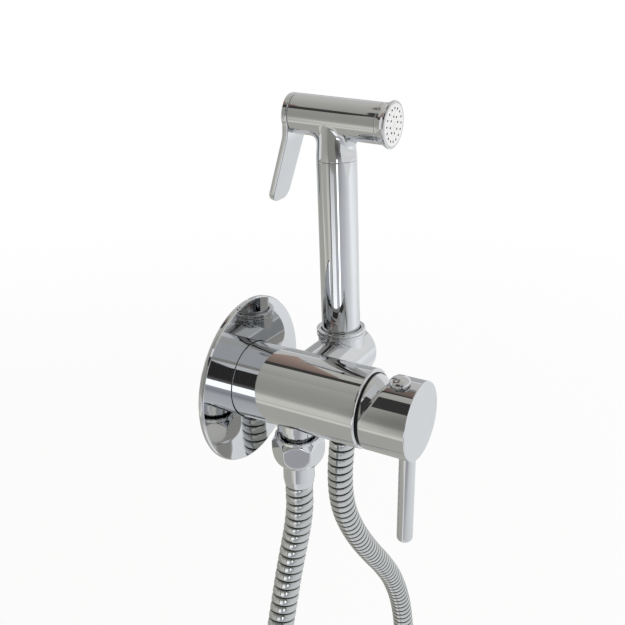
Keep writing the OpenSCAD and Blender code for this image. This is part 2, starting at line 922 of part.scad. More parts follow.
// Points between the chosen points of a line
function between(p0, p1, p2, p3, t) = p1 + 0.5 * t * (p2 - p0)
    + 0.5 * t * t * (2 * p0 - 5 * p1 + 4 * p2 - p3)
    + 0.5 * t * t * t * (3 * p1 - p0 - 3 * p2 + p3);
function fine(line, parts) = [for (i = [0:len(line) - 2]) for (k = [0:parts - 1])
    between(line[max(i - 1, 0)], line[i], line[i + 1], line[min(i + 2, len(line) - 1)], k / parts),
    line[len(line) - 1]];
function lengths(line) = [for (i = 0, sum = 0; i < len(line);
    sum = sum + (i < len(line) - 1 ? norm(line[i + 1] - line[i]) : 0), i = i + 1) sum];
function unit(v) = v / norm(v);
function steps(lens, line) = [for (axis = [0:2]) [for (i = [0:len(line) - 1]) [lens[i], line[i][axis]]]];
function at(tables, d) = [for (axis = [0:2]) lookup(d, tables[axis])];
function round_at(centre, along, r, sides) = let (u = unit(cross([0, 1, 0], along)), v = cross(along, u))
    [for (k = [0:sides - 1]) centre + r * (cos(360 * k / sides) * u + sin(360 * k / sides) * v)];
function tube_faces(start, rings, sides, flip) = [for (i = [0:rings - 2]) for (k = [0:sides - 1])
    let (a = start + i * sides + k, b = start + i * sides + (k + 1) % sides)
    let (c = a + sides, d = b + sides)
    for (face = flip ? [[a, c, b], [b, c, d]] : [[a, b, c], [b, d, c]]) face];
function end_faces(outer, inner, sides, flip) = [for (k = [0:sides - 1]) let (n = (k + 1) % sides)
    let (a = outer + k, b = outer + n, c = inner + k, d = inner + n)
    for (face = flip ? [[a, b, c], [b, d, c]] : [[a, c, b], [b, c, d]]) face];

module ribbed_tube(line, count, outer, root, bore) {
    sides = 8;
    dense = fine(line, 10);
    lens = lengths(dense);
    total = lens[len(lens) - 1];
    tables = steps(lens, dense);
    rows = 2 * count;
    deep = 40;
    skin = [for (i = [0:rows - 1]) let (d = total * i / (rows - 1), c = at(tables, d))
        let (along = unit(at(tables, min(d + 1, total)) - at(tables, max(d - 1, 0))))
        for (p = round_at(c, along, i % 2 == 0 ? outer : root, sides)) p];
    hole = [for (i = [0:deep]) let (d = total * i / deep, c = at(tables, d))
        let (along = unit(at(tables, min(d + 1, total)) - at(tables, max(d - 1, 0))))
        for (p = round_at(c, along, bore, sides)) p];
    first = rows * sides;
    polyhedron(points = concat(skin, hole), faces = concat(
        tube_faces(0, rows, sides, true),
        tube_faces(first, deep + 1, sides, false),
        end_faces(0, first, sides, true),
        end_faces(first - sides, first + deep * sides, sides, false)));
}

module hose() {
    color(chrome)
        ribbed_tube(route, ribs, hose_r, hose_root, hose_bore);
}

module hose_swivel() {
    color(chrome)
        in_hand(swivel_h - swivel_len)
            difference() {
                union() {
                    rotate_extrude()
                        polygon([[0, 0], [hose_r, 0], [swivel_r, swivel_taper], [swivel_r, swivel_len],
                            [0, swivel_len]]);
                    cylinder(r = swivel_pin, h = swivel_len + swivel_in);
                }
                translate([0, 0, -1])
                    cylinder(r = hose_bore, h = swivel_len + swivel_in + 2);
            }
}

module swivel_seal() {
    color(rubber)
        in_hand(fitting_h + swivel_in + rest_gap)
            ring(swivel_pin + pin_gap, hose_bore, swivel_seal_t);
}

module tail_fitting() {
    color(chrome)
        in_hand(fitting_h)
            difference() {
                union() {
                    cylinder(r = fitting_r, h = fitting_out);
                    translate([0, 0, fitting_out])
                        cylinder(r = handle_bore, h = fitting_in);
                }
                translate([0, 0, -1])
                    cylinder(r = swivel_pin + pin_gap, h = swivel_in + 1 + rest_gap + swivel_seal_t);
                cylinder(r = hose_bore, h = fitting_in + fitting_out + 1);
            }
}

module holder_arm() {
    color(chrome)
        difference() {
            translate([0, -holder_s, arm_rise])
                rotate([0, 90, 0])
                    rounded_rod(arm_r, holder_x + arm_end, arm_edge);
            out(-1)
                cylinder(r = body_r, h = body_len);
            in_hand(-2 * arm_r)
                cylinder(r = collar_r, h = 4 * arm_r);
            translate([0, -holder_s, arm_rise])
                rotate([0, 90, 0])
                    cylinder(r = stud_r, h = body_r + stud_out);
        }
}

module holder_stud() {
    color(chrome)
        translate([body_r - stud_in, -holder_s, arm_rise])
            rotate([0, 90, 0])
                cylinder(r = stud_r, h = stud_in + stud_out);
}

module holder_collar() {
    color(chrome)
        in_hand(-collar_low)
            difference() {
                union() {
                    cylinder(r = collar_r, h = collar_top + collar_low - bead_r);
                    for (drop = [bead_r, bead_r + bead_step])
                        translate([0, 0, collar_top + collar_low - drop])
                            torus(collar_r, bead_r);
                }
                translate([0, 0, -1])
                    cylinder(r = collar_in, h = collar_top + collar_low + 2);
            }
}

module holder_bush() {
    color(plastic)
        in_hand(-collar_low)
            difference() {
                cylinder(r = collar_in, h = bush_top + collar_low);
                translate([0, 0, -1])
                    cylinder(r = bush_hole, h = bush_top + collar_low + 2);
                translate([0, 0, collar_low - ledge])
                    cylinder(r = handle_r + run_gap, h = bush_top + collar_low);
            }
}

module handle_tube() {
    color(chrome)
        in_hand(handle_h)
            ring(handle_r, handle_bore, handle_len);
}

module head_body() {
    color(chrome)
        difference() {
            union() {
                in_head(-head_back)
                    cylinder(r = head_r, h = head_back + head_front);
                in_hand(handle_top)
                    cylinder(r = handle_r, h = head_up);
                in_hand(handle_top - neck_len)
                    cylinder(r = handle_bore, h = neck_len + 1);
            }
            in_head(-head_back - 1)
                cylinder(r = head_bore, h = head_back + head_front + 2);
            in_hand(handle_top - neck_len - 1)
                cylinder(r = neck_bore, h = neck_len + head_up);
            in_head(-head_back)
                translate([0, -hinge_low, 0])
                    rotate([-relief, 0, 0])
                        translate([-head_r, -2 * head_r, -head_r])
                            cube([2 * head_r, 2 * head_r, head_r]);
        }
}

module face_ring() {
    color(chrome)
        in_head(head_front)
            difference() {
                union() {
                    rotate_extrude()
                        polygon([[0, 0], [head_r, 0], [head_r, ring_len - flare_len],
                            [lip_r, ring_len - lip_len], [lip_r, ring_len - lip_edge],
                            [lip_r - lip_edge, ring_len], [0, ring_len]]);
                    translate([0, 0, -ring_in])
                        cylinder(r = head_bore, h = ring_in + 1);
                }
                translate([0, 0, -ring_in - 1])
                    cylinder(r = head_bore - ring_t, h = ring_in + ring_len + 2);
                translate([0, 0, ring_len - plate_t - gasket_t])
                    cylinder(r = plate_r, h = plate_t + gasket_t + 1);
            }
}

module spray_plate() {
    color(plastic)
        in_head(ring_front - plate_t)
            difference() {
                cylinder(r = plate_r, h = plate_t);
                for (spot = [0:15])
                    rotate([0, 0, spot * 22.5])
                        translate([spray_outer, 0, -1])
                            cylinder(r = spray_r, h = plate_t + 2);
                for (spot = [0:7])
                    rotate([0, 0, spot * 45 + 11.25])
                        translate([spray_inner, 0, -1])
                            cylinder(r = spray_r, h = plate_t + 2);
            }
}

module plate_gasket() {
    color(rubber)
        in_head(ring_front - plate_t - gasket_t)
            ring(plate_r, spray_outer + spray_r + gasket_land, gasket_t);
}

module valve_bush() {
    color(brass)
        in_head(-head_back)
            difference() {
                cylinder(r = head_bore, h = bush_len);
                translate([0, 0, -1])
                    cylinder(r = rod_r + run_gap, h = bush_len + 2);
                translate([-lug_w / 2 - run_gap, -head_r, -1])
                    cube([lug_w + 2 * run_gap, head_r - hinge_low + lug_gap, hinge_in + lug_gap + 1]);
                translate([-hinge_len / 2, -hinge_low, hinge_in])
                    rotate([0, 90, 0])
                        cylinder(r = hinge_r, h = hinge_len);
                translate([0, -hinge_low, 0])
                    rotate([-relief, 0, 0])
                        translate([-head_r, -2 * head_r, -head_r])
                            cube([2 * head_r, 2 * head_r, head_r]);
            }
}

module valve_seat() {
    color(brass)
        in_head(seat_in)
            ring(head_bore, seat_hole, seat_t);
}

module valve_stem() {
    color(chrome)
        in_head() {
            translate([0, 0, rod_step])
                cylinder(r = rod_r, h = rod_front - rod_step);
            translate([0, 0, collar_back])
                cylinder(r = stem_collar_r, h = stem_collar_t);
            translate([0, 0, nut_z - stem_nut_h + stem_nut_end])
                cylinder(r = rod_end_r, h = rod_end_len + 0.5);
        }
}

module stem_nut() {
    color(chrome)
        in_head(nut_z)
            rotate([180, 0, 0])
                difference() {
                    rounded_rod(stem_nut_r, stem_nut_h, stem_nut_edge);
                    translate([0, 0, -1])
                        cylinder(r = rod_end_r, h = stem_nut_h + 1 - stem_nut_end);
                }
}

module stem_seal() {
    color(rubber)
        in_head(seal_back)
            ring(stem_seal_r, rod_r, stem_seal_t);
}

module stem_spring() {
    free = collar_back - bush_front - 2 * wire_r - 2 * rest_gap;
    parts = 12;
    rows = turns * parts;
    sides = 6;
    points = [for (i = [0:rows]) let (turn = 360 * i / parts, rise = wire_r + rest_gap + free * i / rows)
        for (k = [0:sides - 1])
            [(coil_r + wire_r * cos(360 * k / sides)) * cos(turn),
                (coil_r + wire_r * cos(360 * k / sides)) * sin(turn),
                rise + wire_r * sin(360 * k / sides)]];
    last = rows * sides;
    color(chrome)
        in_head(bush_front)
            polyhedron(points = points, faces = concat(
                tube_faces(0, rows + 1, sides, true),
                [for (k = [1:sides - 2]) [0, k, k + 1]],
                [for (k = [1:sides - 2]) [last, last + k + 1, last + k]]));
}

module trigger() {
    tip = blade_reach - blade_bend;
    back = plate_z - trigger_t;
    bent = trigger_t * tan(blade_angle / 2);
    low = blade_corner - blade_reach;
    color(chrome)
        in_head()
            difference() {
                union() {
                    intersection() {
                        rotate([90, 0, 90])
                            translate([0, 0, -head_r - 1])
                                linear_extrude(2 * head_r + 2)
                                    polygon([[head_r + 1, plate_z], [head_r + 1, back],
                                        [-blade_bend - bent, back],
                                        [-blade_reach, back - (tip - bent) * tan(blade_angle)],
                                        [-blade_reach, plate_z - tip * tan(blade_angle)],
                                        [-blade_bend, plate_z]]);
                        translate([0, 0, -3 * blade_reach])
                            linear_extrude(3 * blade_reach) {
                                circle(head_r);
                                polygon([[-blade_top / 2, -head_r / 3], [-blade_end / 2, low],
                                    [blade_end / 2, low], [blade_top / 2, -head_r / 3]]);
                                translate([blade_corner - blade_end / 2, -blade_reach])
                                    square([blade_end - 2 * blade_corner, blade_corner + 1]);
                                for (side = [-1, 1])
                                    translate([side * (blade_end / 2 - blade_corner), low])
                                        circle(blade_corner);
                            }
                    }
                    translate([-lug_w / 2, -hinge_low, 0])
                        rotate([90, 0, 90])
                            linear_extrude(lug_w) {
                                translate([0, hinge_z])
                                    circle(lug_r);
                                translate([-lug_r, plate_z - 0.5])
                                    square([2 * lug_r, hinge_z - plate_z + 0.5]);
                            }
                }
                translate([-lug_w, -hinge_low, hinge_z])
                    rotate([0, 90, 0])
                        cylinder(r = hinge_r + pin_gap, h = 2 * lug_w);
                translate([0, 0, back - 1])
                    linear_extrude(trigger_t + 2) {
                        circle(rod_end_r + run_gap);
                        translate([-rod_end_r - run_gap, 0])
                            square([2 * rod_end_r + 2 * run_gap, slot_rise]);
                        translate([0, slot_rise])
                            circle(rod_end_r + run_gap);
                    }
            }
}

module trigger_pin() {
    color(chrome)
        in_head(hinge_z)
            translate([-hinge_len / 2, -hinge_low, 0])
                rotate([0, 90, 0])
                    cylinder(r = hinge_r, h = hinge_len);
}

valve_body();
wall_flange();
flange_seal();
flange_oring();
back_washer();
back_nut();
cold_strainer();
hot_strainer();
cartridge_seals();
cartridge_base();
fixed_disc();
moving_disc();
disc_carrier();
cartridge_housing();
stem_guide();
pivot_pin();
lever_stem();
cartridge_nut();
dome_cover();
lever_cap();
lever_pin();
grub_screw();
lever_button();
outlet_nipple();
hose_washer();
hose_nut();
hose_sleeve();
hose();
hose_swivel();
swivel_seal();
tail_fitting();
holder_arm();
holder_stud();
holder_collar();
holder_bush();
handle_tube();
head_body();
face_ring();
spray_plate();
plate_gasket();
valve_bush();
valve_seat();
valve_stem();
stem_nut();
stem_seal();
stem_spring();
trigger();
trigger_pin();
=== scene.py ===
"""Bidet mixer in polished chrome: studio, hose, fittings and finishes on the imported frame.

Blender works in metres. Sizes are written in millimetres and take the factor MM where they meet a mesh.
The wall plane is y = 0, the mixer stands out along -Y, the shower holder is on the +X side and +Z is up.
A turned piece's profile is a list of radius and distance along its axis, with a second list of the radii that
round its corners."""
import json
import math

import bmesh
import bpy
import numpy as np
from mathutils import Matrix


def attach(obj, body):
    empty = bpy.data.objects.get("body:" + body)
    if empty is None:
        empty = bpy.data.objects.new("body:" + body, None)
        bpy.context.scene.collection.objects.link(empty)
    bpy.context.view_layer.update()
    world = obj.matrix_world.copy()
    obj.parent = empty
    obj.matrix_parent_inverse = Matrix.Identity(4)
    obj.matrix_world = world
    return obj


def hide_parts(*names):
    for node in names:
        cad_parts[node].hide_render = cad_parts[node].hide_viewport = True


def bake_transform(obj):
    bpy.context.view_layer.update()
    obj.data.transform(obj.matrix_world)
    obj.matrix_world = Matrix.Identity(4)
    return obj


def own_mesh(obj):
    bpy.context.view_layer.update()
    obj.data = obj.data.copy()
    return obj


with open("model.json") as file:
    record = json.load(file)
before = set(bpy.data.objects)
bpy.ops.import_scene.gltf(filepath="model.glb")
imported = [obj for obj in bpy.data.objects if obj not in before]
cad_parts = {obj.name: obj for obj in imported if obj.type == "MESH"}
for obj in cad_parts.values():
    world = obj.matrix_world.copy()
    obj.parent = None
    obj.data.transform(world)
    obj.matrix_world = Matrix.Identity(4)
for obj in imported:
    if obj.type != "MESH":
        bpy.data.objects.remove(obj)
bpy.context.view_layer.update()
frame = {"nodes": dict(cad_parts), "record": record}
scene = bpy.context.scene
scene.view_settings.view_transform = "Standard"
MM = 0.001

# Places of the main axes, in millimetres
WALL = np.zeros(3)
OUTLET = np.array([0.0, -29.5, 0.0])
HOLDER = np.array([42.0, -32.6, 2.0])
LEAN = math.radians(1.6)
DROOP = math.radians(2.0)
X_AXIS = np.array([1.0, 0.0, 0.0])
OUT_AXIS = np.array([0.0, -1.0, 0.0])
DOWN_AXIS = np.array([0.0, 0.0, -1.0])
HAND_AXIS = np.array([0.0, math.sin(LEAN), math.cos(LEAN)])
HEAD_AXIS = np.array([0.0, -math.cos(DROOP), -math.sin(DROOP)])
HEAD_UP = np.array([0.0, -math.sin(DROOP), math.cos(DROOP)])
HEAD_HEIGHT = 127.9
HEAD_AT = HOLDER + HEAD_HEIGHT * HAND_AXIS
PIVOT = 66.0


def unit(v):
    """Vectors of length one along the last axis."""
    return v / np.linalg.norm(v, axis=-1, keepdims=True)


def put(name, data):
    """A new object in the scene, at the origin."""
    made = bpy.data.objects.new(name, data)
    scene.collection.objects.link(made)
    return made


def stand(right, up, back, at):
    """The place of a camera or lamp, from its own three directions and the point where it stands."""
    place = np.eye(4)
    place[:3] = np.stack([right, up, back, at], axis=-1)
    return Matrix(place.tolist())


def aim_camera():
    """The photograph's view: the camera stands off the object's left front and above it. Its back follows
    from its turn and rise, and its right and up are then turned by a roll of under a degree."""
    turn, rise, roll = np.radians([-59.6653, 22.2108, -0.7363])
    back = np.array([np.sin(turn) * np.cos(rise), -np.cos(turn) * np.cos(rise), np.sin(rise)])
    right = unit(np.cross([0.0, 0.0, 1.0], back))
    up = np.cross(back, right)
    right, up = np.cos(roll) * right + np.sin(roll) * up, np.cos(roll) * up - np.sin(roll) * right
    data = bpy.data.cameras.new("view")
    data.lens = 49.047
    data.sensor_width = 36.0
    data.clip_start = 0.01
    data.clip_end = 50.0
    camera = put("view", data)
    camera.matrix_world = stand(right, up, back, (-0.328101, -0.231041, 0.199283))
    scene.camera = camera


aim_camera()


# Mesh building

def rounded(points, radii, steps=6):
    """A polyline whose corners become arcs. Each corner's arc touches both its sides, and is drawn by turning
    the direction from the arc's centre evenly from one touching point to the other. A short straight piece is
    kept before and after each arc, so that flat faces beside it shade flat."""
    p = np.asarray(points, float)
    r = np.asarray(radii, float)[1:-1, None]
    a, b = unit(p[:-2] - p[1:-1]), unit(p[2:] - p[1:-1])
    half = np.arccos(np.clip((a * b).sum(1, keepdims=True), -1, 1)) / 2
    reach = r / np.tan(half)
    first, last = p[1:-1] + a * reach, p[1:-1] + b * reach
    centre = p[1:-1] + unit(a + b + 1e-12) * r / np.sin(half)
    sweep = math.pi - 2 * half
    share = np.linspace(0, 1, steps + 1)[None, :, None]
    safe = np.maximum(np.sin(sweep), 1e-9)[:, None]
    arc = (np.sin((1 - share) * sweep[:, None]) * (first - centre)[:, None]
           + np.sin(share * sweep[:, None]) * (last - centre)[:, None]) / safe + centre[:, None]
    lead = np.minimum(0.06, 0.3 * r)
    rows = np.concatenate([(first + a * lead)[:, None], arc, (last + b * lead)[:, None]], axis=1)
    line = np.concatenate([p[:1], rows.reshape(-1, 2), p[-1:]])
    keep = np.append(True, np.linalg.norm(np.diff(line, axis=0), axis=1) > 1e-6)
    return line[keep]


def loop(points, radii):
    """A closed profile with rounded corners; its first point lies on a straight side."""
    return rounded(points + points[:1], radii + [0])


def placed(local, origin, axis, side=X_AXIS):
    """Points given across, up and along a piece's own axis, moved to where that axis lies."""
    up = np.cross(axis, side)
    return origin + local[..., 0:1] * side + local[..., 1:2] * up + local[..., 2:3] * axis


def turned(profile, origin, axis, side=X_AXIS, sides=144):
    """A profile swept round an axis: every profile point becomes a circle."""
    radius, along = np.asarray(profile, float).T[:, :, None]
    turn = np.linspace(0, 2 * math.pi, sides, endpoint=False)[None]
    local = np.stack([radius * np.cos(turn), radius * np.sin(turn), along + 0 * turn], axis=-1)
    return placed(local, origin, axis, side)


def quads_of(rows, columns, wrap_rows, wrap_columns):
    """Corner numbers of the quads between neighbouring points of a grid."""
    index = np.arange(rows * columns).reshape(rows, columns)
    if wrap_rows:
        index = np.vstack([index, index[:1]])
    if wrap_columns:
        index = np.hstack([index, index[:, :1]])
    return np.stack([index[:-1, :-1], index[:-1, 1:], index[1:, 1:], index[1:, :-1]], axis=-1).reshape(-1, 4)


def piece(name, body, slot, grids, material, nodes=(), wrap=(False, True), sharp=34, values=None, merge=1e-4):
    """One object from grids of points in millimetres. Points that meet are merged, so poles and seams close,
    the faces are turned outwards, and edges sharper than the given angle stay sharp."""
    starts = np.cumsum([0] + [g.shape[0] * g.shape[1] for g in grids])
    points = np.concatenate([g.reshape(-1, 3) for g in grids]) * MM
    faces = np.concatenate([quads_of(*g.shape[:2], *wrap) + s for g, s in zip(grids, starts)])
    mesh = bpy.data.meshes.new(name)
    mesh.from_pydata(points, [], faces)
    for label, numbers in (values or {}).items():
        layer = mesh.attributes.new(label, "FLOAT", "POINT")
        layer.data.foreach_set("value", np.ascontiguousarray(numbers, np.float32))
    shell = bmesh.new()
    shell.from_mesh(mesh)
    bmesh.ops.remove_doubles(shell, verts=shell.verts, dist=merge * MM)
    bmesh.ops.dissolve_degenerate(shell, edges=shell.edges, dist=merge * MM)
    bmesh.ops.recalc_face_normals(shell, faces=shell.faces)
    shell.to_mesh(mesh)
    shell.free()
    mesh.shade_smooth()
    mesh.set_sharp_from_angle(angle=math.radians(sharp))
    mesh.materials.append(material)
    made = put(name, mesh)
    if body:
        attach(made, body)
    if nodes:
        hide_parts(*nodes)
    return made


# Shader nodes

def add(tree, kind, **settings):
    """A shader node. A setting that names a property of the node sets it, and any other one sets the input of
    that name."""
    made = tree.nodes.new("ShaderNode" + kind)
    for key, value in settings.items():
        if hasattr(made, key):
            setattr(made, key, value)
        else:
            made.inputs[key.replace("_", " ").title()].default_value = value
    return made


def feed(tree, socket, term):
    """Gives a socket a fixed value, or a link where the term is the output of another node."""
    if isinstance(term, bpy.types.NodeSocket):
        tree.links.new(term, socket)
    else:
        socket.default_value = term


def reckon(tree, operation, *terms, clamp=False):
    """The result of a Math node. Each term is a number or the output of another node."""
    made = add(tree, "Math", operation=operation, use_clamp=clamp)
    for socket, term in zip(made.inputs, terms):
        feed(tree, socket, term)
    return made.outputs["Value"]


def mixed(tree, kind, share, first, second):
    """The colour out of a Mix node. Its colour sockets go by number, because its kinds share their names."""
    made = add(tree, "Mix", data_type="RGBA", blend_type=kind)
    first_colour, second_colour, result = made.inputs[6], made.inputs[7], made.outputs[2]
    feed(tree, made.inputs["Factor"], share)
    feed(tree, first_colour, first)
    feed(tree, second_colour, second)
    return result


def blank(owner):
    """The emptied node tree of a new material or world."""
    owner.use_nodes = True
    owner.node_tree.nodes.clear()
    return owner.node_tree


def show(tree, shader, kind="Material"):
    """Leads a shader to the output of its material or world."""
    out = tree.nodes.new("ShaderNodeOutput" + kind)
    tree.links.new(shader, out.inputs["Surface"])


# Finishes

def wear_group():
    """Wipe marks and waviness of a worked surface, from noise on Object coordinates: broad noise gives soft
    smears, its finer octaves break them up, and cells with a small random share of spots give dried drops.
    Inputs are the marks' Scale per metre and their Strength. Tone is near one, Gloss is a mask from 0 to 1,
    and Height is the waviness."""
    group = bpy.data.node_groups.new("wipe_marks", "ShaderNodeTree")
    for name, usual in (("Scale", 60.0), ("Strength", 1.0)):
        socket = group.interface.new_socket(name, in_out="INPUT", socket_type="NodeSocketFloat")
        socket.default_value = usual
    for name in ("Tone", "Gloss", "Height"):
        group.interface.new_socket(name, in_out="OUTPUT", socket_type="NodeSocketFloat")
    given = group.nodes.new("NodeGroupInput")
    out = group.nodes.new("NodeGroupOutput")
    link = group.links.new
    where = add(group, "TexCoord").outputs["Object"]
    smear = add(group, "TexNoise", detail=4.0, roughness=0.55)
    link(where, smear.inputs["Vector"])
    link(given.outputs["Scale"], smear.inputs["Scale"])
    soft = add(group, "MapRange", interpolation_type="SMOOTHSTEP", from_min=0.42, from_max=0.74)
    link(smear.outputs["Fac"], soft.inputs["Value"])
    spots = add(group, "TexVoronoi", feature="F1", scale=340.0)
    link(where, spots.inputs["Vector"])
    ring = add(group, "MapRange", interpolation_type="SMOOTHSTEP", from_min=0.34, from_max=0.16)
    link(spots.outputs["Distance"], ring.inputs["Value"])
    shade = add(group, "SeparateColor")
    link(spots.outputs["Color"], shade.inputs["Color"])
    rare = add(group, "MapRange", from_min=0.90, from_max=1.0)
    link(shade.outputs["Red"], rare.inputs["Value"])
    drops = reckon(group, "MULTIPLY", ring.outputs["Result"], rare.outputs["Result"])
    both = reckon(group, "MULTIPLY_ADD", drops, 0.5, soft.outputs["Result"])
    marks = reckon(group, "MULTIPLY", both, given.outputs["Strength"], clamp=True)
    wave = add(group, "TexNoise", scale=28.0, detail=1.0, roughness=0.4)
    link(where, wave.inputs["Vector"])
    link(reckon(group, "MULTIPLY_ADD", marks, -0.06, 1.0), out.inputs["Tone"])
    link(marks, out.inputs["Gloss"])
    link(wave.outputs["Fac"], out.inputs["Height"])
    return group


WEAR = wear_group()


def finish(name, colour, metallic, polish, dull, marks, strength, wave, painted_shade=None):
    """A worked surface: the colour times the wipe marks' tone, a roughness between polish and dull by the
    marks' mask, and their waviness as a bump. Where given, the last argument paints shade: it names an
    attribute that masks the shade, the dark colour painted there and the roughness that it adds."""
    made = bpy.data.materials.new(name)
    tree = blank(made)
    link = tree.links.new
    wear = tree.nodes.new("ShaderNodeGroup")
    wear.node_tree = WEAR
    wear.inputs["Scale"].default_value = marks
    wear.inputs["Strength"].default_value = strength
    base = mixed(tree, "MULTIPLY", 1.0, (*colour, 1.0), wear.outputs["Tone"])
    gloss = add(tree, "MapRange", to_min=polish, to_max=dull)
    link(wear.outputs["Gloss"], gloss.inputs["Value"])
    rough = gloss.outputs["Result"]
    if painted_shade:
        # Painted shade: the attribute's mask mixes in the dark colour and adds roughness
        label, dark, matt = painted_shade
        mask = add(tree, "Attribute", attribute_name=label).outputs["Fac"]
        base = mixed(tree, "MIX", mask, base, (*dark, 1.0))
        rough = reckon(tree, "MULTIPLY_ADD", mask, matt, rough, clamp=True)
    bump = add(tree, "Bump", strength=1.0, distance=wave)
    link(wear.outputs["Height"], bump.inputs["Height"])
    shader = add(tree, "BsdfPrincipled", metallic=metallic)
    link(base, shader.inputs["Base Color"])
    link(rough, shader.inputs["Roughness"])
    link(bump.outputs["Normal"], shader.inputs["Normal"])
    show(tree, shader.outputs["BSDF"])
    return made


PLATING = (0.62, 0.63, 0.645)
CHROME = finish("polished_chrome", PLATING, 1.0, 0.03, 0.11, 46.0, 0.6, 0.00012)
# Chrome with painted shade: near black and rougher where its attribute mask is one, for the shadow in the gap
# between body and dome
SEAM_SHADED_CHROME = finish("seam_shaded_chrome", PLATING, 1.0, 0.03, 0.11, 46.0, 0.6, 0.00012,
                painted_shade=("seam_shade", (0.03, 0.03, 0.032), 0.4))
CAST = finish("cast_chrome", PLATING, 1.0, 0.09, 0.17, 46.0, 0.6, 0.00012)
SATIN = finish("spray_face", (0.84, 0.845, 0.85), 0.0, 0.3, 0.42, 120.0, 1.0, 0.00004)
# The hose's metal, with painted shade: near black and rougher where its attribute mask is one, down in the
# grooves between the strip's bands
HOSE_METAL = finish("hose_metal", (0.54, 0.555, 0.555), 1.0, 0.06, 0.18, 60.0, 1.0, 0.00006,
                    painted_shade=("groove_shade", (0.02, 0.02, 0.022), 0.5))
STEEL = finish("stainless_steel", (0.62, 0.62, 0.63), 1.0, 0.26, 0.4, 300.0, 1.0, 0.00008)
BRASS = finish("machined_brass", (0.72, 0.56, 0.28), 1.0, 0.2, 0.36, 180.0, 1.0, 0.00006)
RUBBER = finish("black_rubber", (0.028, 0.028, 0.03), 0.0, 0.62, 0.8, 220.0, 1.0, 0.0002)
PLASTIC = finish("white_plastic", (0.80, 0.79, 0.75), 0.0, 0.38, 0.52, 160.0, 1.0, 0.0001)
CERAMIC = finish("fired_ceramic", (0.86, 0.84, 0.80), 0.0, 0.1, 0.2, 140.0, 1.0, 0.00004)
BY_SLOT = {"polished_chrome": CHROME, "stainless_steel": STEEL, "brass": BRASS,
           "black_rubber": RUBBER, "white_plastic": PLASTIC, "ceramic": CERAMIC}
for part in frame["record"]["subparts"]:
    shown = frame["nodes"][part["node"]].data.materials
    shown.clear()
    shown.append(SATIN if part["node"] == "spray_plate" else BY_SLOT[part["material_slot"]])


def chrome(name, body, node, *grids, material=CHROME, **form):
    """A chrome piece that stands for one CAD node."""
    return piece(name, body, "polished_chrome", grids, material, [node], **form)


# Hose

ROUTE = np.array([
    [0, -29.5, -55.6], [0, -29.5, -62.6], [0, -29.5, -70.6], [-0.9, -28.3, -84], [-3.2, -26.7, -98],
    [-7, -25.3, -115], [-13, -24.5, -137], [-22, -24.5, -163], [-33, -24.5, -194], [-43, -25, -230],
    [-50, -25.5, -270], [-52, -26, -314], [-48, -26.5, -357], [-36, -27, -398], [-16, -28, -432],
    [13, -29, -456], [48, -29.5, -465], [84, -30, -457], [114, -30, -434], [136, -30, -400],
    [148, -30, -359], [151, -30, -316], [148, -30, -275], [139, -30, -239], [124, -30, -208],
    [106.5, -30, -183], [89.5, -30, -162], [74, -30, -142], [61, -30, -123], [51, -30.2, -105],
    [45, -30.8, -89], [41.9, -31.7, -73], [41.2, -32.8, -58],
    [42, -33.828, -41.983], [42, -33.605, -33.986], [42, -33.41, -26.989]])


def smooth_line(points, parts=10):
    """A curve through chosen points: between two of them each coordinate is a cubic whose slope at a point is
    half the step from the point before it to the point after it."""
    q = np.vstack([points[:1], points, points[-1:]])
    p0, p1, p2, p3 = (q[i:len(q) - 3 + i, None] for i in range(4))
    t = (np.arange(parts) / parts)[None, :, None]
    line = p1 + 0.5 * t * (p2 - p0) + 0.5 * t ** 2 * (2 * p0 - 5 * p1 + 4 * p2 - p3) \
        + 0.5 * t ** 3 * (3 * p1 - p0 - 3 * p2 + p3)
    return np.vstack([line.reshape(-1, 3), points[-1:]])


def wound_hose(line, ribs=200, sides=36):
    """A tube wound from one strip. Along the hose each turn of the strip is a flat band, slightly larger at
    one edge, between narrow grooves. A row of points runs round the hose and gains one turn's width on the
    way, so that the grooves make one helix from end to end, and the ends are cut square. Besides the points it
    gives a mask of painted shade for each of them, one down in the grooves and nought on the bands, and the
    hose's length."""
    gone = np.append(0, np.cumsum(np.linalg.norm(np.diff(line, axis=0), axis=1)))
    total = gone[-1]
    pitch = total / ribs
    share = np.array([0.0, 0.05, 0.10, 0.18, 0.32, 0.50, 0.68, 0.82, 0.91, 0.96])
    radius = np.array([6.55, 6.66, 7.05, 7.21, 7.33, 7.38, 7.40, 7.35, 7.22, 6.95])
    # Painted shade, one down in the grooves and nought on the band's face, at the same shares of a turn as the
    # radii
    groove_shade = np.array([1.0, 1.0, 0.6, 0.1, 0.0, 0.0, 0.0, 0.05, 0.35, 0.95])
    rows = (np.arange(-1, ribs + 1)[:, None] + share).reshape(-1)
    turn = np.linspace(0, 2 * math.pi, sides + 1)
    along = np.clip((rows[:, None] + turn / (2 * math.pi)) * pitch, 0, total)
    used = (along.max(1) > 0) & (along.min(1) < total)
    along = along[used]
    r = np.tile(radius, ribs + 2)[used, None]
    mask = np.tile(groove_shade, ribs + 2)[used, None] + 0 * along

    def at(d):
        """The line's point at a distance along it."""
        return np.stack([np.interp(d, gone, line[:, k]) for k in range(3)], axis=-1)
    tangent = unit(at(np.minimum(along + 1.0, total)) - at(np.maximum(along - 1.0, 0)))
    side = unit(np.cross([0.0, 1.0, 0.0], tangent))
    up = np.cross(tangent, side)
    grid = at(along) + r[..., None] * (np.cos(turn)[None, :, None] * side + np.sin(turn)[None, :, None] * up)
    return grid, mask.reshape(-1), total


hose_grid, hose_groove_shade, hose_total = wound_hose(smooth_line(ROUTE))
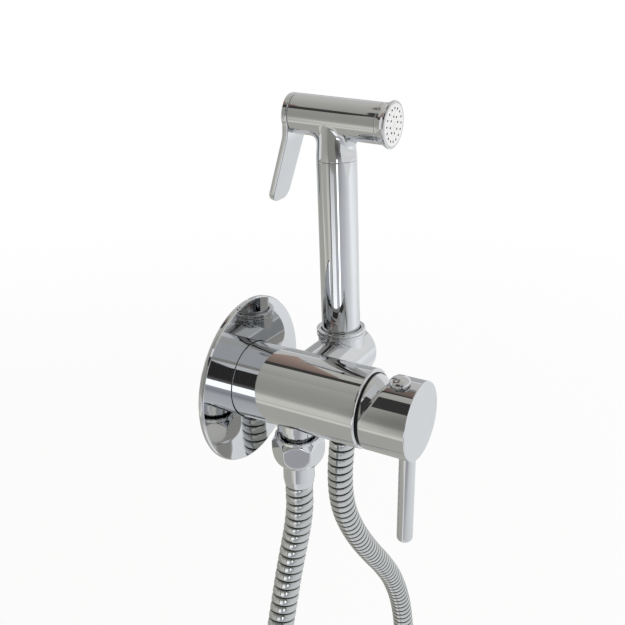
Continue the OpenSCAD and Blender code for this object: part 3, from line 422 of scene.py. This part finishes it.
# The hose carries its mask of painted shade in the grooves as an attribute
hose = chrome("metal_hose", None, "hose", hose_grid, material=HOSE_METAL, wrap=(False, False), sharp=60,
              values={"groove_shade": hose_groove_shade})
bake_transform(hose)


# Mixer

def close_rows(profile, step):
    """A profile with points added along its straight pieces, so that none is longer than the step."""
    p = np.asarray(profile, float)
    parts = np.ceil(np.linalg.norm(np.diff(p, axis=0), axis=1) / step).astype(int)
    place = np.concatenate([[0.0], np.cumsum(np.repeat(1 / parts, parts))])
    return np.stack([np.interp(place, np.arange(len(p)), p[:, k]) for k in range(2)], axis=-1)


def hexagon(turn, across, p=90.0):
    """Radius of a hexagon with softened corners: the power mean of its six flats' distances at each angle."""
    flats = np.arange(6) * math.pi / 3
    facing = np.maximum(np.cos(turn[..., None] - flats), 0)
    return across / 2 * (facing ** p).sum(-1) ** (-1 / p)


def hex_turned(profile, inner, across, origin, axis, side=X_AXIS, sides=240, step=0.12, p=90.0):
    """A hexagonal nut: round the axis its radius is the smaller one of the hexagon's and the turned
    profile's, joined by a power mean so that the edge between flat and turning is softened. Inner rows are
    plain circles."""
    turn = np.linspace(0, 2 * math.pi, sides, endpoint=False)[None]
    r, along = close_rows(profile, step).T[:, :, None]
    cut = hexagon(turn, across)
    radius = (r ** -p + cut ** -p) ** (-1 / p)
    bore, depth = np.asarray(inner, float).T[:, :, None]
    radius = np.vstack([radius, bore + 0 * turn])
    along = np.vstack([along + 0 * turn, depth + 0 * turn])
    local = np.stack([radius * np.cos(turn), radius * np.sin(turn), along], axis=-1)
    return placed(local, origin, axis, side)


def thread(major, minor, start, end, pitch):
    """Profile of a thread seen from the side: crests and roots in turn, as rings of the given pitch."""
    count = int((end - start) / pitch)
    s = start + (np.arange(count)[:, None] + np.array([0.08, 0.42, 0.58, 0.92])) * pitch
    r = np.tile([minor, major, major, minor], (count, 1))
    return np.stack([r.reshape(-1), s.reshape(-1)], axis=-1)


flange = loop([[30, 3.0], [43.15, 3.0], [43.7, 2.0], [43.7, 0.7], [43.2, 0], [42.8, 0], [42.4, 1.9],
               [20.35, 2.0], [20.35, 3.0]],
              [0, 0.3, 0.5, 0.3, 0.1, 0.12, 0.4, 0.1, 0.25])
chrome("wall_plate", "mixer", "wall_flange", turned(flange, WALL, OUT_AXIS, sides=220))

nipple_neck = rounded([[6.8, 12.6], [6.8, 20.5], [9.3, 20.5], [9.3, 26.4]], [0, 0, 0.2, 0])
nipple_end = rounded([[9.3, 35.7], [9.3, 36.0], [5.0, 36.0], [5.0, 12.6], [6.8, 12.6]], [0, 0, 0.2, 0, 0])
nipple = np.vstack([nipple_neck, thread(10.3, 9.3, 26.6, 35.6, 1.15), nipple_end])
chrome("outlet_thread", "mixer", "outlet_nipple", turned(nipple, OUTLET, DOWN_AXIS, sides=96))

NUT_FLATS = 24.4
NUT_TURN = math.radians(27)
NUT_SIDE = np.array([math.cos(NUT_TURN), math.sin(NUT_TURN), 0.0])
nut_outer = rounded([[6.0, 42.5], [8.9, 42.5], [10.9, 41.3], [13.0, 38.6], [13.9, 35.6], [14.2, 32.5],
                     [14.2, 30.4], [12.1, 26.9], [12.1, 25.3], [10.95, 25.3]],
                    [0, 0.3, 3, 5, 7, 7, 1.2, 0.25, 0.3, 0], 7)
nut_bore = [[10.95, 25.4], [10.95, 39.6], [10.7, 40.0], [6.0, 40.0]]
chrome("union_nut", "mixer", "hose_nut",
       hex_turned(nut_outer, nut_bore, NUT_FLATS, OUTLET, DOWN_AXIS, NUT_SIDE), wrap=(True, True))

ferrule = loop([[7.0, 42.6], [7.9, 42.6], [8.25, 43.1], [8.25, 51.2], [7.95, 53.2], [7.55, 55.2], [7.1, 55.6],
                [6.0, 55.6], [6.0, 42.6]],
               [0, 0.2, 0.4, 2.0, 2.0, 0.3, 0.15, 0.1, 0.1])
chrome("hose_ferrule", "mixer", "hose_sleeve", turned(ferrule, OUTLET, DOWN_AXIS))

DOME_RADIUS = 19.0
dome_turn = np.radians(np.linspace(71.6, 39.4, 40))
dome_ball = np.stack([DOME_RADIUS * np.sin(dome_turn), PIVOT + DOME_RADIUS * np.cos(dome_turn)], axis=-1)
dome_foot = rounded([[16.0, 70.5], [16.0, 71.85], [18.3, 71.85], [18.3, 72.4], [18.03, 72.4]],
                    [0, 0, 0.12, 0.12, 0], 5)
dome_inside = [[11.0, 79.8], [15.6, 72.6], [15.2, 70.5]]
dome_grid = turned(np.vstack([dome_foot, dome_ball, dome_inside]), WALL, OUT_AXIS)

# Painted shade in the gap between body and dome: a near-black band round the dome's foot, wider below than
# above, with a soft edge
SEAM_AT, SEAM_SHADE_WIDTH, SEAM_SHADE_CHANGE, SEAM_SHADE_EDGE = 72.45, 0.9, 0.5, 0.4
seam_shade_depth = SEAM_SHADE_WIDTH + SEAM_SHADE_CHANGE * np.clip(-dome_grid[..., 2] / 10.0, -1, 1)
dome_seam_shade = np.clip((SEAM_AT + seam_shade_depth + dome_grid[..., 1]) / SEAM_SHADE_EDGE, 0, 1)
chrome("dome_shell", "mixer", "dome_cover", dome_grid, material=SEAM_SHADED_CHROME, wrap=(True, True),
       values={"seam_shade": dome_seam_shade.reshape(-1)})


def lever_cap():
    """The lever's cap: a cylinder whose back is cut square in its lower part and on a slant above, hollowed
    by a ball round the pivot. At each angle the profile runs from the middle of the front face over the
    rounded edge along the side to the cut, down the cut to where it meets the ball, and along the ball to the
    stem. Where cut and ball meet is found by halving the way to the ball's radius at the cut, many times."""
    radius, front, front_edge, edge = 19.5, 97.5, 0.55, 0.35
    ball, stem, roof = 19.4, 4.5, 94.5
    square, bend, slant, softness = 73.6, 2.8, math.tan(math.radians(28.4)), 0.09
    turn = np.linspace(0, 2 * math.pi, 240, endpoint=False)[None]
    rise = np.sin(turn)

    def cut(r):
        """How far out the back is cut at a radius, with a soft change from square to slant."""
        over = r * rise - bend
        return square + slant * 0.5 * (over + np.sqrt(over ** 2 + softness))
    face = rounded([[0, front], [radius, front], [radius, front - 7.5]], [0, front_edge, 0])[:-1]
    face_r, face_s = face[:, 0:1] + 0 * turn, face[:, 1:2] + 0 * turn
    back = cut(radius) + edge
    side_s = face_s[-1:] + np.linspace(0.1, 1, 24)[:, None] * (back - face_s[-1:])
    bevel = np.radians(np.linspace(15, 90, 6))[:, None]
    rim = radius - edge
    bevel_r, bevel_s = rim + edge * np.cos(bevel) + 0 * turn, back - edge * np.sin(bevel)
    meet = 17.0 + 0 * turn
    for _ in range(60):
        meet = np.sqrt(np.maximum(ball ** 2 - (cut(meet) - PIVOT) ** 2, 16.0)) * 0.5 + meet * 0.5
    slope_r = rim + np.linspace(0.06, 1, 14)[:, None] * (meet - rim)
    lean = np.arcsin(np.clip(meet / ball, 0, 1))
    polar = lean + np.linspace(0.02, 1, 22)[:, None] * (math.asin(stem / ball) - lean)
    hole_r = np.array([[stem], [0.0]]) + 0 * turn
    r = np.vstack([face_r, radius + 0 * side_s, bevel_r, slope_r, ball * np.sin(polar), hole_r])
    s = np.vstack([face_s, side_s, bevel_s, cut(slope_r), PIVOT + ball * np.cos(polar), roof + 0 * hole_r])
    return placed(np.stack([r * np.cos(turn), r * np.sin(turn), s], axis=-1), WALL, OUT_AXIS)


chrome("lever_head", "lever", "lever_cap", lever_cap())

ROD_AT = np.array([0, -91.1, 0])
rod = rounded([[0, 11.0], [4.1, 11.0], [4.1, 69.7], [0, 69.7]], [0, 0.2, 2.6, 0], 10)
chrome("lever_rod", "lever", "lever_pin", turned(rod, ROD_AT, DOWN_AXIS, sides=72))

BUTTON_AT = np.array([0, -87.8, 0])
BUTTON_TILT = math.radians(11)
BUTTON_AXIS = np.array([-math.sin(BUTTON_TILT), 0.0, math.cos(BUTTON_TILT)])
BUTTON_SIDE = np.array([math.cos(BUTTON_TILT), 0.0, math.sin(BUTTON_TILT)])
button_turn = np.radians(np.linspace(8, 90, 24))
button_foot = rounded([[3.0, 15.5], [3.0, 18.7], [4.3, 18.7], [4.3, 20.25], [4.9, 20.3], [5.02, 20.65]],
                      [0, 0, 0, 0.1, 0.15, 0], 5)
BUTTON_RADIUS, BUTTON_BASE, BUTTON_RISE = 5.05, 20.5, 2.4
button_crown = np.stack([BUTTON_RADIUS * np.cos(button_turn), BUTTON_BASE + BUTTON_RISE * np.sin(button_turn)],
                        axis=-1)
button = np.vstack([button_foot, button_crown])
chrome("cap_button", "lever", "lever_button", turned(button, BUTTON_AT, BUTTON_AXIS, BUTTON_SIDE, 96))

LOCKNUT_FLATS = 38.0
locknut = rounded([[16.55, -4.5], [18.6, -4.5], [21.7, -5.5], [21.7, -8.5], [18.6, -9.5], [16.55, -9.5]],
                  [0, 0.3, 0.5, 0.5, 0.3, 0])
locknut_bore = [[16.55, -9.4], [16.55, -4.6]]
piece("rear_nut", "mixer", "brass", [hex_turned(locknut, locknut_bore, LOCKNUT_FLATS, WALL, OUT_AXIS)], BRASS,
      ["back_nut"], wrap=(True, True))


# Holder and hand shower

collar = loop([[12.4, 0], [12.4, 13.6], [13.1, 14.1], [13.1, 15.3], [12.45, 15.65], [12.45, 16.0],
               [13.1, 16.3], [13.1, 17.7], [10.5, 17.7], [10.5, 16.6], [11.6, 15.4], [11.6, -11],
               [12.4, -11]],
              [0, 0.3, 0.5, 0.5, 0.12, 0.12, 0.3, 0.8, 0.8, 0.4, 0.4, 0.1, 0.4])
chrome("collar_ring", "mixer", "holder_collar", turned(collar, HOLDER, HAND_AXIS), material=CAST)

swivel = loop([[7.0, -16.0], [7.4, -16.0], [7.7, -16.4], [7.7, -25.4], [7.55, -27.6], [7.3, -29.0],
               [6.0, -29.0], [6.0, -16.0]],
              [0, 0.2, 0.3, 1.5, 1.0, 0.3, 0.1, 0.1])
pin = loop([[4.0, -16], [5.0, -15.9], [5.0, -8.0], [4.0, -8.0]], [0, 0, 0.3, 0.1])
chrome("swivel_sleeve", "hose_end", "hose_swivel", turned(swivel, HOLDER, HAND_AXIS),
       turned(pin, HOLDER, HAND_AXIS, sides=48))

tube = loop([[10.2, 50], [10.2, 107.5], [8.4, 107.5], [8.4, -3.9], [10.2, -3.9]], [0, 0.35, 0.1, 0.1, 0.6])
chrome("handle_barrel", "hand_shower", "handle_tube", turned(tube, HOLDER, HAND_AXIS))


def head_skirt():
    """The stem of the T: a tube that narrows slightly upwards and flows into the head by a fillet. At each
    angle the fillet is a parabola from a point on the stem to a point on the head, with its corner where the
    stem's line meets the head, and it shrinks where the two already lie side by side."""
    radius, head, fillet = 9.75, 10.0, 4.2
    wide, bore, stem_foot, sink = 10.2, 8.0, -20.4, 0.015
    turn = np.linspace(0, 2 * math.pi, 160, endpoint=False)
    sine, cosine = np.sin(turn)[:, None], np.cos(turn)[:, None]
    neck_up = np.array([0.0, HAND_AXIS @ HEAD_UP, HAND_AXIS @ HEAD_AXIS])
    neck_out = np.array([0.0, -neck_up[2], neck_up[1]])
    spoke = sine * X_AXIS + cosine * neck_out
    ring = radius * spoke
    drop = -np.sqrt(head ** 2 - ring[:, 0] ** 2)
    corner = ring + ((drop - ring[:, 1]) / neck_up[1])[:, None] * neck_up
    normal = unit(corner * [1, 1, 0])
    outward = sine * X_AXIS + cosine * np.array([0, 0, 1.0])
    along = outward - (outward * normal).sum(1, keepdims=True) * normal
    size = fillet * np.linalg.norm(along, axis=1, keepdims=True)
    low = corner - size * neck_up
    high = corner + fillet * along
    high[:, :2] *= (head - sink) / np.linalg.norm(high[:, :2], axis=1, keepdims=True)
    t = np.linspace(0, 1, 14)[:, None, None]
    blend = (1 - t) ** 2 * low + 2 * t * (1 - t) * corner + t ** 2 * high
    foot = stem_foot + np.array([0.0, 0.06, 0.2, 0.35, 0.42, 1.2])[:, None, None]
    edge = np.array([9.85, 10.05, 10.17, wide, wide, wide])[:, None, None]
    base = edge * spoke + foot * neck_up
    share = np.linspace(0.15, 0.95, 10)[:, None, None]
    ease = share ** 2 * (3 - 2 * share)
    stem = base[-1] + (low - base[-1]) * share
    radial = stem - (stem @ neck_up)[..., None] * neck_up
    taper = wide + (radius - wide) * ease
    stem = stem + unit(radial) * (taper - np.linalg.norm(radial, axis=-1, keepdims=True))
    inner = (bore * spoke + stem_foot * neck_up)[None]
    return placed(np.concatenate([inner, base, stem, blend]), HEAD_AT, HEAD_AXIS)


def head_barrel():
    """The bar of the T: a turned tube, closed inside its ends. The part of its back end below the trigger's
    hinge is cut on a slant, so that the trigger can swing."""
    hinge_height, slant = -6.0, math.tan(math.radians(16))
    profile = loop([[10.0, 0], [10.0, 25.45], [8.4, 25.45], [8.4, -21.0], [8.4, -22.0], [10.0, -22.0]],
                   [0, 0.2, 0.1, 0, 0.15, 0.35])
    grid = turned(profile, np.zeros(3), np.array([0, 0, 1.0]))
    back = profile[:, 1] < -21
    below = np.maximum(hinge_height - grid[..., 1], 0) * slant
    grid[..., 2] += np.where(back[:, None], below, 0)
    return placed(grid, HEAD_AT, HEAD_AXIS)


chrome("tee_head", "hand_shower", "head_body", head_barrel(), head_skirt())

ring = loop([[9.9, 25.55], [9.9, 25.7], [10.0, 25.9], [10.0, 27.0], [10.5, 28.6], [11.3, 30.0], [11.4, 30.4],
             [11.4, 31.1], [11.1, 31.4], [10.35, 31.4], [10.25, 31.2], [10.25, 28.8], [8.0, 28.8],
             [8.0, 25.55]],
            [0, 0.05, 0.1, 1.5, 2.5, 0.4, 0.2, 0.2, 0.15, 0.08, 0.05, 0.1, 0.1, 0.1])
chrome("spray_ring", "hand_shower", "face_ring", turned(ring, HEAD_AT, HEAD_AXIS))


def nozzle_inserts():
    """Inserts in the spray plate's holes, sixteen on an outer circle and eight on an inner one: each is a
    small turned cup whose thin rim lies on the plate's face."""
    cup = [[0, 30.2], [0.36, 30.2], [0.36, 31.38], [0.42, 31.44], [0.54, 31.44], [0.6, 31.4], [0.6, 31.36]]
    far = np.repeat([7.9, 4.1], [16, 8])[:, None]
    turn = np.radians(np.concatenate([22.5 * np.arange(16), 45.0 * np.arange(8) + 11.25]))[:, None]
    holes = HEAD_AT + far * (np.cos(turn) * X_AXIS + np.sin(turn) * HEAD_UP)
    return [turned(cup, hole, HEAD_AXIS, sides=20) for hole in holes]


piece("spray_nozzles", "hand_shower", "black_rubber", nozzle_inserts(), RUBBER)


def trigger_blade():
    """The trigger: a plate of rounded rectangular section. Down its length its half width follows the head's
    circle, then a slow taper, then the rounded end; its line turns by 15 degrees below the head."""
    length, thick, edge, corner, head = 57.2, 3.3, 0.75, 6.0, 10.0
    top, bend_start, bend_length, bend_angle = -23.95, 18.4, 5.6, math.radians(15)
    shoulder, narrowing, taper_start, taper_length = 9.0, 0.8, -3.3, 36.0
    u = length * (1 - np.cos(np.linspace(0, math.pi, 120))) / 2
    bend = np.clip((u - bend_start) / bend_length, 0, 1)
    heading = bend_angle * bend ** 2 * (3 - 2 * bend)
    step = np.append(0, np.diff(u))
    y = head - np.cumsum(step * np.cos(heading))
    z = top - np.cumsum(step * np.sin(heading))
    circle = np.sqrt(np.maximum(head ** 2 - y ** 2, 0)) * (y > -5)
    taper = np.where(y < -2, shoulder - narrowing * np.clip((taper_start - y) / taper_length, 0, 1), 0)
    left = np.clip(length - u, 0, corner)
    tip = np.sqrt(np.maximum(corner ** 2 - (corner - left) ** 2, 0)) - corner
    wide = np.maximum(circle, taper) + tip
    ends = np.minimum(np.minimum(u, length - u), edge)
    deep = thick / 2 - edge + np.sqrt(np.maximum(edge ** 2 - (edge - ends) ** 2, 0))
    round_off = np.minimum(np.minimum(edge, deep), np.maximum(wide, 1e-3))
    quarter = np.radians(np.linspace(0, 90, 7))
    turn = (np.arange(4)[:, None] * math.pi / 2 + quarter).reshape(-1)
    sign_w = np.repeat([1, -1, -1, 1], 7)
    sign_t = np.repeat([1, 1, -1, -1], 7)
    a = sign_w * (wide - round_off)[:, None] + round_off[:, None] * np.cos(turn)
    b = sign_t * (deep - round_off)[:, None] + round_off[:, None] * np.sin(turn)
    a, b = np.vstack([a[:1] * 0, a, a[-1:]]), np.vstack([b[:1] * 0, b, b[-1:] * 0])
    pad = np.concatenate([[0], np.arange(len(u)), [len(u) - 1]])
    up = y[pad, None] + b * np.sin(heading[pad, None])
    on = z[pad, None] - b * np.cos(heading[pad, None])
    return placed(np.stack([a, up, on], axis=-1), HEAD_AT, HEAD_AXIS)


chrome("trigger_blade", "trigger_lever", "trigger", trigger_blade())

cap_foot = rounded([[1.7, -25.7], [3.5, -25.7], [3.5, -27.4], [2.6, -28.45]], [0, 0.2, 0.8, 0])
cap_nut = np.vstack([cap_foot, [[1.5, -28.65], [0, -28.7]]])
chrome("stem_cap", "valve_plunger", "stem_nut", turned(cap_nut, HEAD_AT, HEAD_AXIS, sides=72))

SPRING_FOOT, SPRING_LENGTH, SPRING_PRESS = -12.0, 12.95, 2.8


def spring_wire():
    """The return spring in the head: a wire's circle carried along a helix of five turns between the bush and
    the stem's collar. At both ends the circle shrinks to a point, which closes the wire."""
    turns, parts, coil, wire, room = 5, 36, 4.6, 0.5, 0.55
    share = np.linspace(0, 1, turns * parts + 1)
    thick = wire * np.concatenate([[0.0], np.ones(len(share)), [0.0]])[:, None]
    share = np.concatenate([[0.0], share, [1.0]])[:, None]
    turn = 2 * math.pi * turns * share
    round_wire = np.linspace(0, 2 * math.pi, 12, endpoint=False)[None]
    radius = coil + thick * np.cos(round_wire)
    along = SPRING_FOOT + room + (SPRING_LENGTH - 2 * room) * share + thick * np.sin(round_wire)
    local = np.stack([radius * np.cos(turn), radius * np.sin(turn), along], axis=-1)
    return placed(local, HEAD_AT, HEAD_AXIS)


spring = piece("return_spring", "hand_shower", "stainless_steel", [spring_wire()], STEEL, ["stem_spring"])
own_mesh(spring)


# Studio

def seen_white(tree, own, white, camera=1.0, mirror=1.0):
    """A surface or sky that shows its own shader, mixed with a white one by the given shares: one for rays of
    the camera, and one for rays of mirrors and glass. A share is a number or the output of a node."""
    rays = add(tree, "LightPath").outputs
    share = reckon(tree, "MULTIPLY", rays["Is Camera Ray"], camera)
    for ray in ("Is Glossy Ray", "Is Transmission Ray"):
        share = reckon(tree, "MAXIMUM", share, reckon(tree, "MULTIPLY", rays[ray], mirror))
    mix = add(tree, "MixShader")
    for socket, term in zip(mix.inputs, (share, own, white)):
        tree.links.new(term, socket)
    return mix.outputs["Shader"]


def light_world():
    """An even sky at a plain level, white to the camera and in mirrors."""
    scene.world = bpy.data.worlds.new("room")
    tree = blank(scene.world)
    room = add(tree, "Background", strength=0.62)
    room.inputs["Color"].default_value = (1.0, 0.985, 0.965, 1.0)
    white = add(tree, "Background", strength=1.0)
    white.inputs["Color"].default_value = (1.0, 1.0, 1.0, 1.0)
    show(tree, seen_white(tree, room.outputs["Background"], white.outputs["Background"]), "World")


def lay_floor():
    """A pale floor under the hose loop. It shows the object's shadow near the object, and fades to the white
    of the sky by its distance from it."""
    height, half = -0.4735, 60.0
    made = bpy.data.materials.new("pale_floor")
    tree = blank(made)
    own = add(tree, "BsdfDiffuse")
    own.inputs["Color"].default_value = (0.92, 0.92, 0.92, 1.0)
    white = add(tree, "Emission", strength=1.0)
    where = add(tree, "TexCoord")
    far = add(tree, "VectorMath", operation="LENGTH")
    tree.links.new(where.outputs["Object"], far.inputs[0])
    fade = add(tree, "MapRange", interpolation_type="SMOOTHSTEP", from_min=0.6, from_max=2.2, to_min=0.86,
               to_max=1.0)
    tree.links.new(far.outputs["Value"], fade.inputs["Value"])
    show(tree, seen_white(tree, own.outputs["BSDF"], white.outputs["Emission"], fade.outputs["Result"], 0.9))
    mesh = bpy.data.meshes.new("floor")
    corners = [(-half, -half, height), (half, -half, height), (half, half, height), (-half, half, height)]
    mesh.from_pydata(corners, [], [(0, 1, 2, 3)])
    mesh.materials.append(made)
    put("floor", mesh)


def between(grid, parts=6):
    """A grid with rows and columns added evenly between its own, each mixed from its two neighbours."""
    for axis in (0, 1):
        place = np.linspace(0, grid.shape[axis] - 1, (grid.shape[axis] - 1) * parts + 1)
        first = np.minimum(place.astype(int), grid.shape[axis] - 2)
        share = np.expand_dims(place - first, (1, 2) if axis == 0 else (0, 2))
        grid = np.take(grid, first, axis) * (1 - share) + np.take(grid, first + 1, axis) * share
    return grid


def card(name, points, tones, tint):
    """A card that only mirrors see: what a studio's walls, flags and camera stand give to polished metal. Its
    points are a grid of rows and columns, and the tones at them, times the tint, are mixed evenly between."""
    made = bpy.data.materials.new(name)
    tree = blank(made)
    glow = add(tree, "Emission", strength=1.0)
    tone = add(tree, "Attribute", attribute_name="tone")
    tree.links.new(tone.outputs["Color"], glow.inputs["Color"])
    show(tree, glow.outputs["Emission"])
    places = between(np.asarray(points, float))
    shades = between(np.broadcast_to(tones, np.shape(points)[:2])[..., None] * np.asarray(tint))
    rgba = np.concatenate([shades, np.ones(shades.shape[:2] + (1,))], axis=-1).astype(np.float32)
    mesh = bpy.data.meshes.new(name)
    mesh.from_pydata(places.reshape(-1, 3), [], quads_of(*places.shape[:2], False, False))
    mesh.attributes.new("tone", "FLOAT_COLOR", "POINT").data.foreach_set("color", rgba.reshape(-1))
    mesh.materials.append(made)
    sheet = put(name, mesh)
    sheet.visible_camera = False
    sheet.visible_diffuse = False
    sheet.visible_shadow = False


def lamp(name, at, power, size):
    """A square soft light that looks at the mixer and isn't seen in mirrors."""
    data = bpy.data.lights.new(name, "AREA")
    data.energy = power
    data.size = size
    back = unit(np.array(at) - np.array([0.02, -0.03, 0.03]))
    right = unit(np.cross([0.0, 0.0, 1.0], back))
    made = put(name, data)
    made.matrix_world = stand(right, np.cross(back, right), back, at)
    made.visible_glossy = False


def upright(x, y, z):
    """An upright sheet across X: rows at the heights z, columns at the places y."""
    return np.stack(np.broadcast_arrays(x, np.array(y), np.array(z)[:, None]), axis=-1)


def level(z, x, y):
    """A level sheet: rows at the places y, columns at the places x."""
    return np.stack(np.broadcast_arrays(np.array(x), np.array(y)[:, None], z), axis=-1)


light_world()
lay_floor()
lamp("key_light", (-0.9, -1.3, 1.5), 16.0, 1.0)
lamp("fill_light", (1.4, -0.9, 1.0), 8.0, 1.2)

# Tints of the cards, and the planes that most of them stand or lie in
WARM = np.array([1.0, 0.985, 0.91])
PALE = np.array([0.97, 0.985, 1.0])
DARK = np.array([1.0, 0.95, 0.92])
BROWN = np.array([1.0, 0.74, 0.63])
LILAC = np.array([0.93, 0.94, 1.0])
LEFT_WALL, NEAR_FLAG, ROOF, GROUND = -1.0, 0.18, 1.4, -0.47

card("warm_wall",
     upright(LEFT_WALL, (0.26, 0.30, 0.40, 0.60, 0.75, 2.6), (GROUND, -0.22, -0.06, 0.15, 0.6, ROOF)),
     [[0.60, 0.60, 0.80, 0.80, 0.55, 0.55],
      [0.45, 0.50, 0.80, 0.80, 0.55, 0.55],
      [0.28, 0.30, 0.46, 0.48, 0.50, 0.50],
      [0.25, 0.27, 0.40, 0.41, 0.42, 0.45],
      [0.30, 0.30, 0.42, 0.42, 0.44, 0.45],
      [0.50, 0.50, 0.50, 0.50, 0.50, 0.50]], WARM)
card("wall_edge", upright(LEFT_WALL, (0.195, 0.26), (GROUND, -0.12)), 0.03, DARK)
card("high_wall", upright(LEFT_WALL, (-0.50, 0.26), (-0.12, ROOF)), 0.35, WARM)
card("table", level(-0.472, (-1.0, -0.84, -0.77, -0.68, -0.58, 1.3), (0.05, 1.5, 2.6)),
     [[0.72, 0.70, 0.90, 0.90, 0.54, 0.52],
      [0.72, 0.70, 0.90, 0.90, 0.52, 0.50],
      [0.50, 0.50, 0.50, 0.50, 0.45, 0.40]], WARM)
card("ceiling", level(ROOF, (-1.0, 0.0, 0.6, 2.6), (-2.0, 3.0)),
     [[0.44, 0.58, 0.68, 0.72]] * 2, [WARM] * 3 + [PALE])
card("top_light", level(1.39, (-0.7, 0.8), (-1.3, -0.6)), 0.72, PALE)
card("dark_strip", [[(-0.017, -0.04, NEAR_FLAG), (-0.009, -0.04, NEAR_FLAG)],
                    [(-0.030, 0.0, NEAR_FLAG), (-0.004, 0.0, NEAR_FLAG)],
                    [(-0.030, 0.095, NEAR_FLAG), (0.0, 0.095, NEAR_FLAG)]], 0.06, DARK)
card("brown_shelf", [[(-0.004, 0.018, NEAR_FLAG), (0.006, 0.018, NEAR_FLAG)],
                     [(0.0, 0.095, NEAR_FLAG), (0.17, 0.095, NEAR_FLAG)]],
     [[0.24, 0.40], [0.24, 0.50]], BROWN)
card("brown_board", level(1.35, (-0.1, 0.5), (0.2, 0.47)), [[0.18, 0.28]] * 2, BROWN)
card("side_flag", level(NEAR_FLAG, (-0.24, -0.085), (-0.32, -0.16)), 0.05, DARK)
card("camera_stand", [[(-0.30, -0.15, 0.22), (-0.30, 0.07, 0.22)],
                      [(-0.30, -0.15, 0.79), (-0.30, 0.27, 0.79)]], 0.05, DARK)
card("light_stand", upright(LEFT_WALL, (-1.05, -0.50), (-0.07, 0.12, 0.95)),
     [[0.3] * 2, [0.05] * 2, [0.05] * 2], DARK)
card("softbox", upright(LEFT_WALL, (-0.73, -0.54), (-0.42, -0.07)), 2.6, PALE)
card("window", upright(LEFT_WALL, (-0.22, 0.195), (GROUND, -0.3, -0.12)),
     [[2.0, 1.9], [1.5, 1.3], [0.8, 0.8]], PALE)
card("cool_wall", upright(-1.6, (-2.4, -0.2), (GROUND, 0.07)), [[0.6] * 2, [0.15] * 2], PALE)
card("front_floor",
     level(-0.471, (-2.4, -1.6, -1.1, -0.65, -0.4, 0.0, 0.7, 1.1, 3.0), (-3.0, -1.3, -0.44, -0.1)),
     [[0.65, 0.68, 0.75, 0.85, 0.90, 0.95, 1.30, 1.30, 1.00],
      [0.60, 0.62, 0.70, 0.80, 0.86, 0.95, 1.30, 1.30, 0.98],
      [0.60, 0.65, 0.72, 0.50, 0.85, 0.95, 0.97, 0.97, 0.95],
      [0.60, 0.65, 0.72, 0.50, 0.85, 0.95, 0.95, 0.95, 0.95]], [LILAC] * 4 + [PALE] * 5)
card("back_right", upright(1.5, (0.35, 2.6), (GROUND, 0.7)), [[0.5, 0.35], [0.55, 0.35]], PALE)
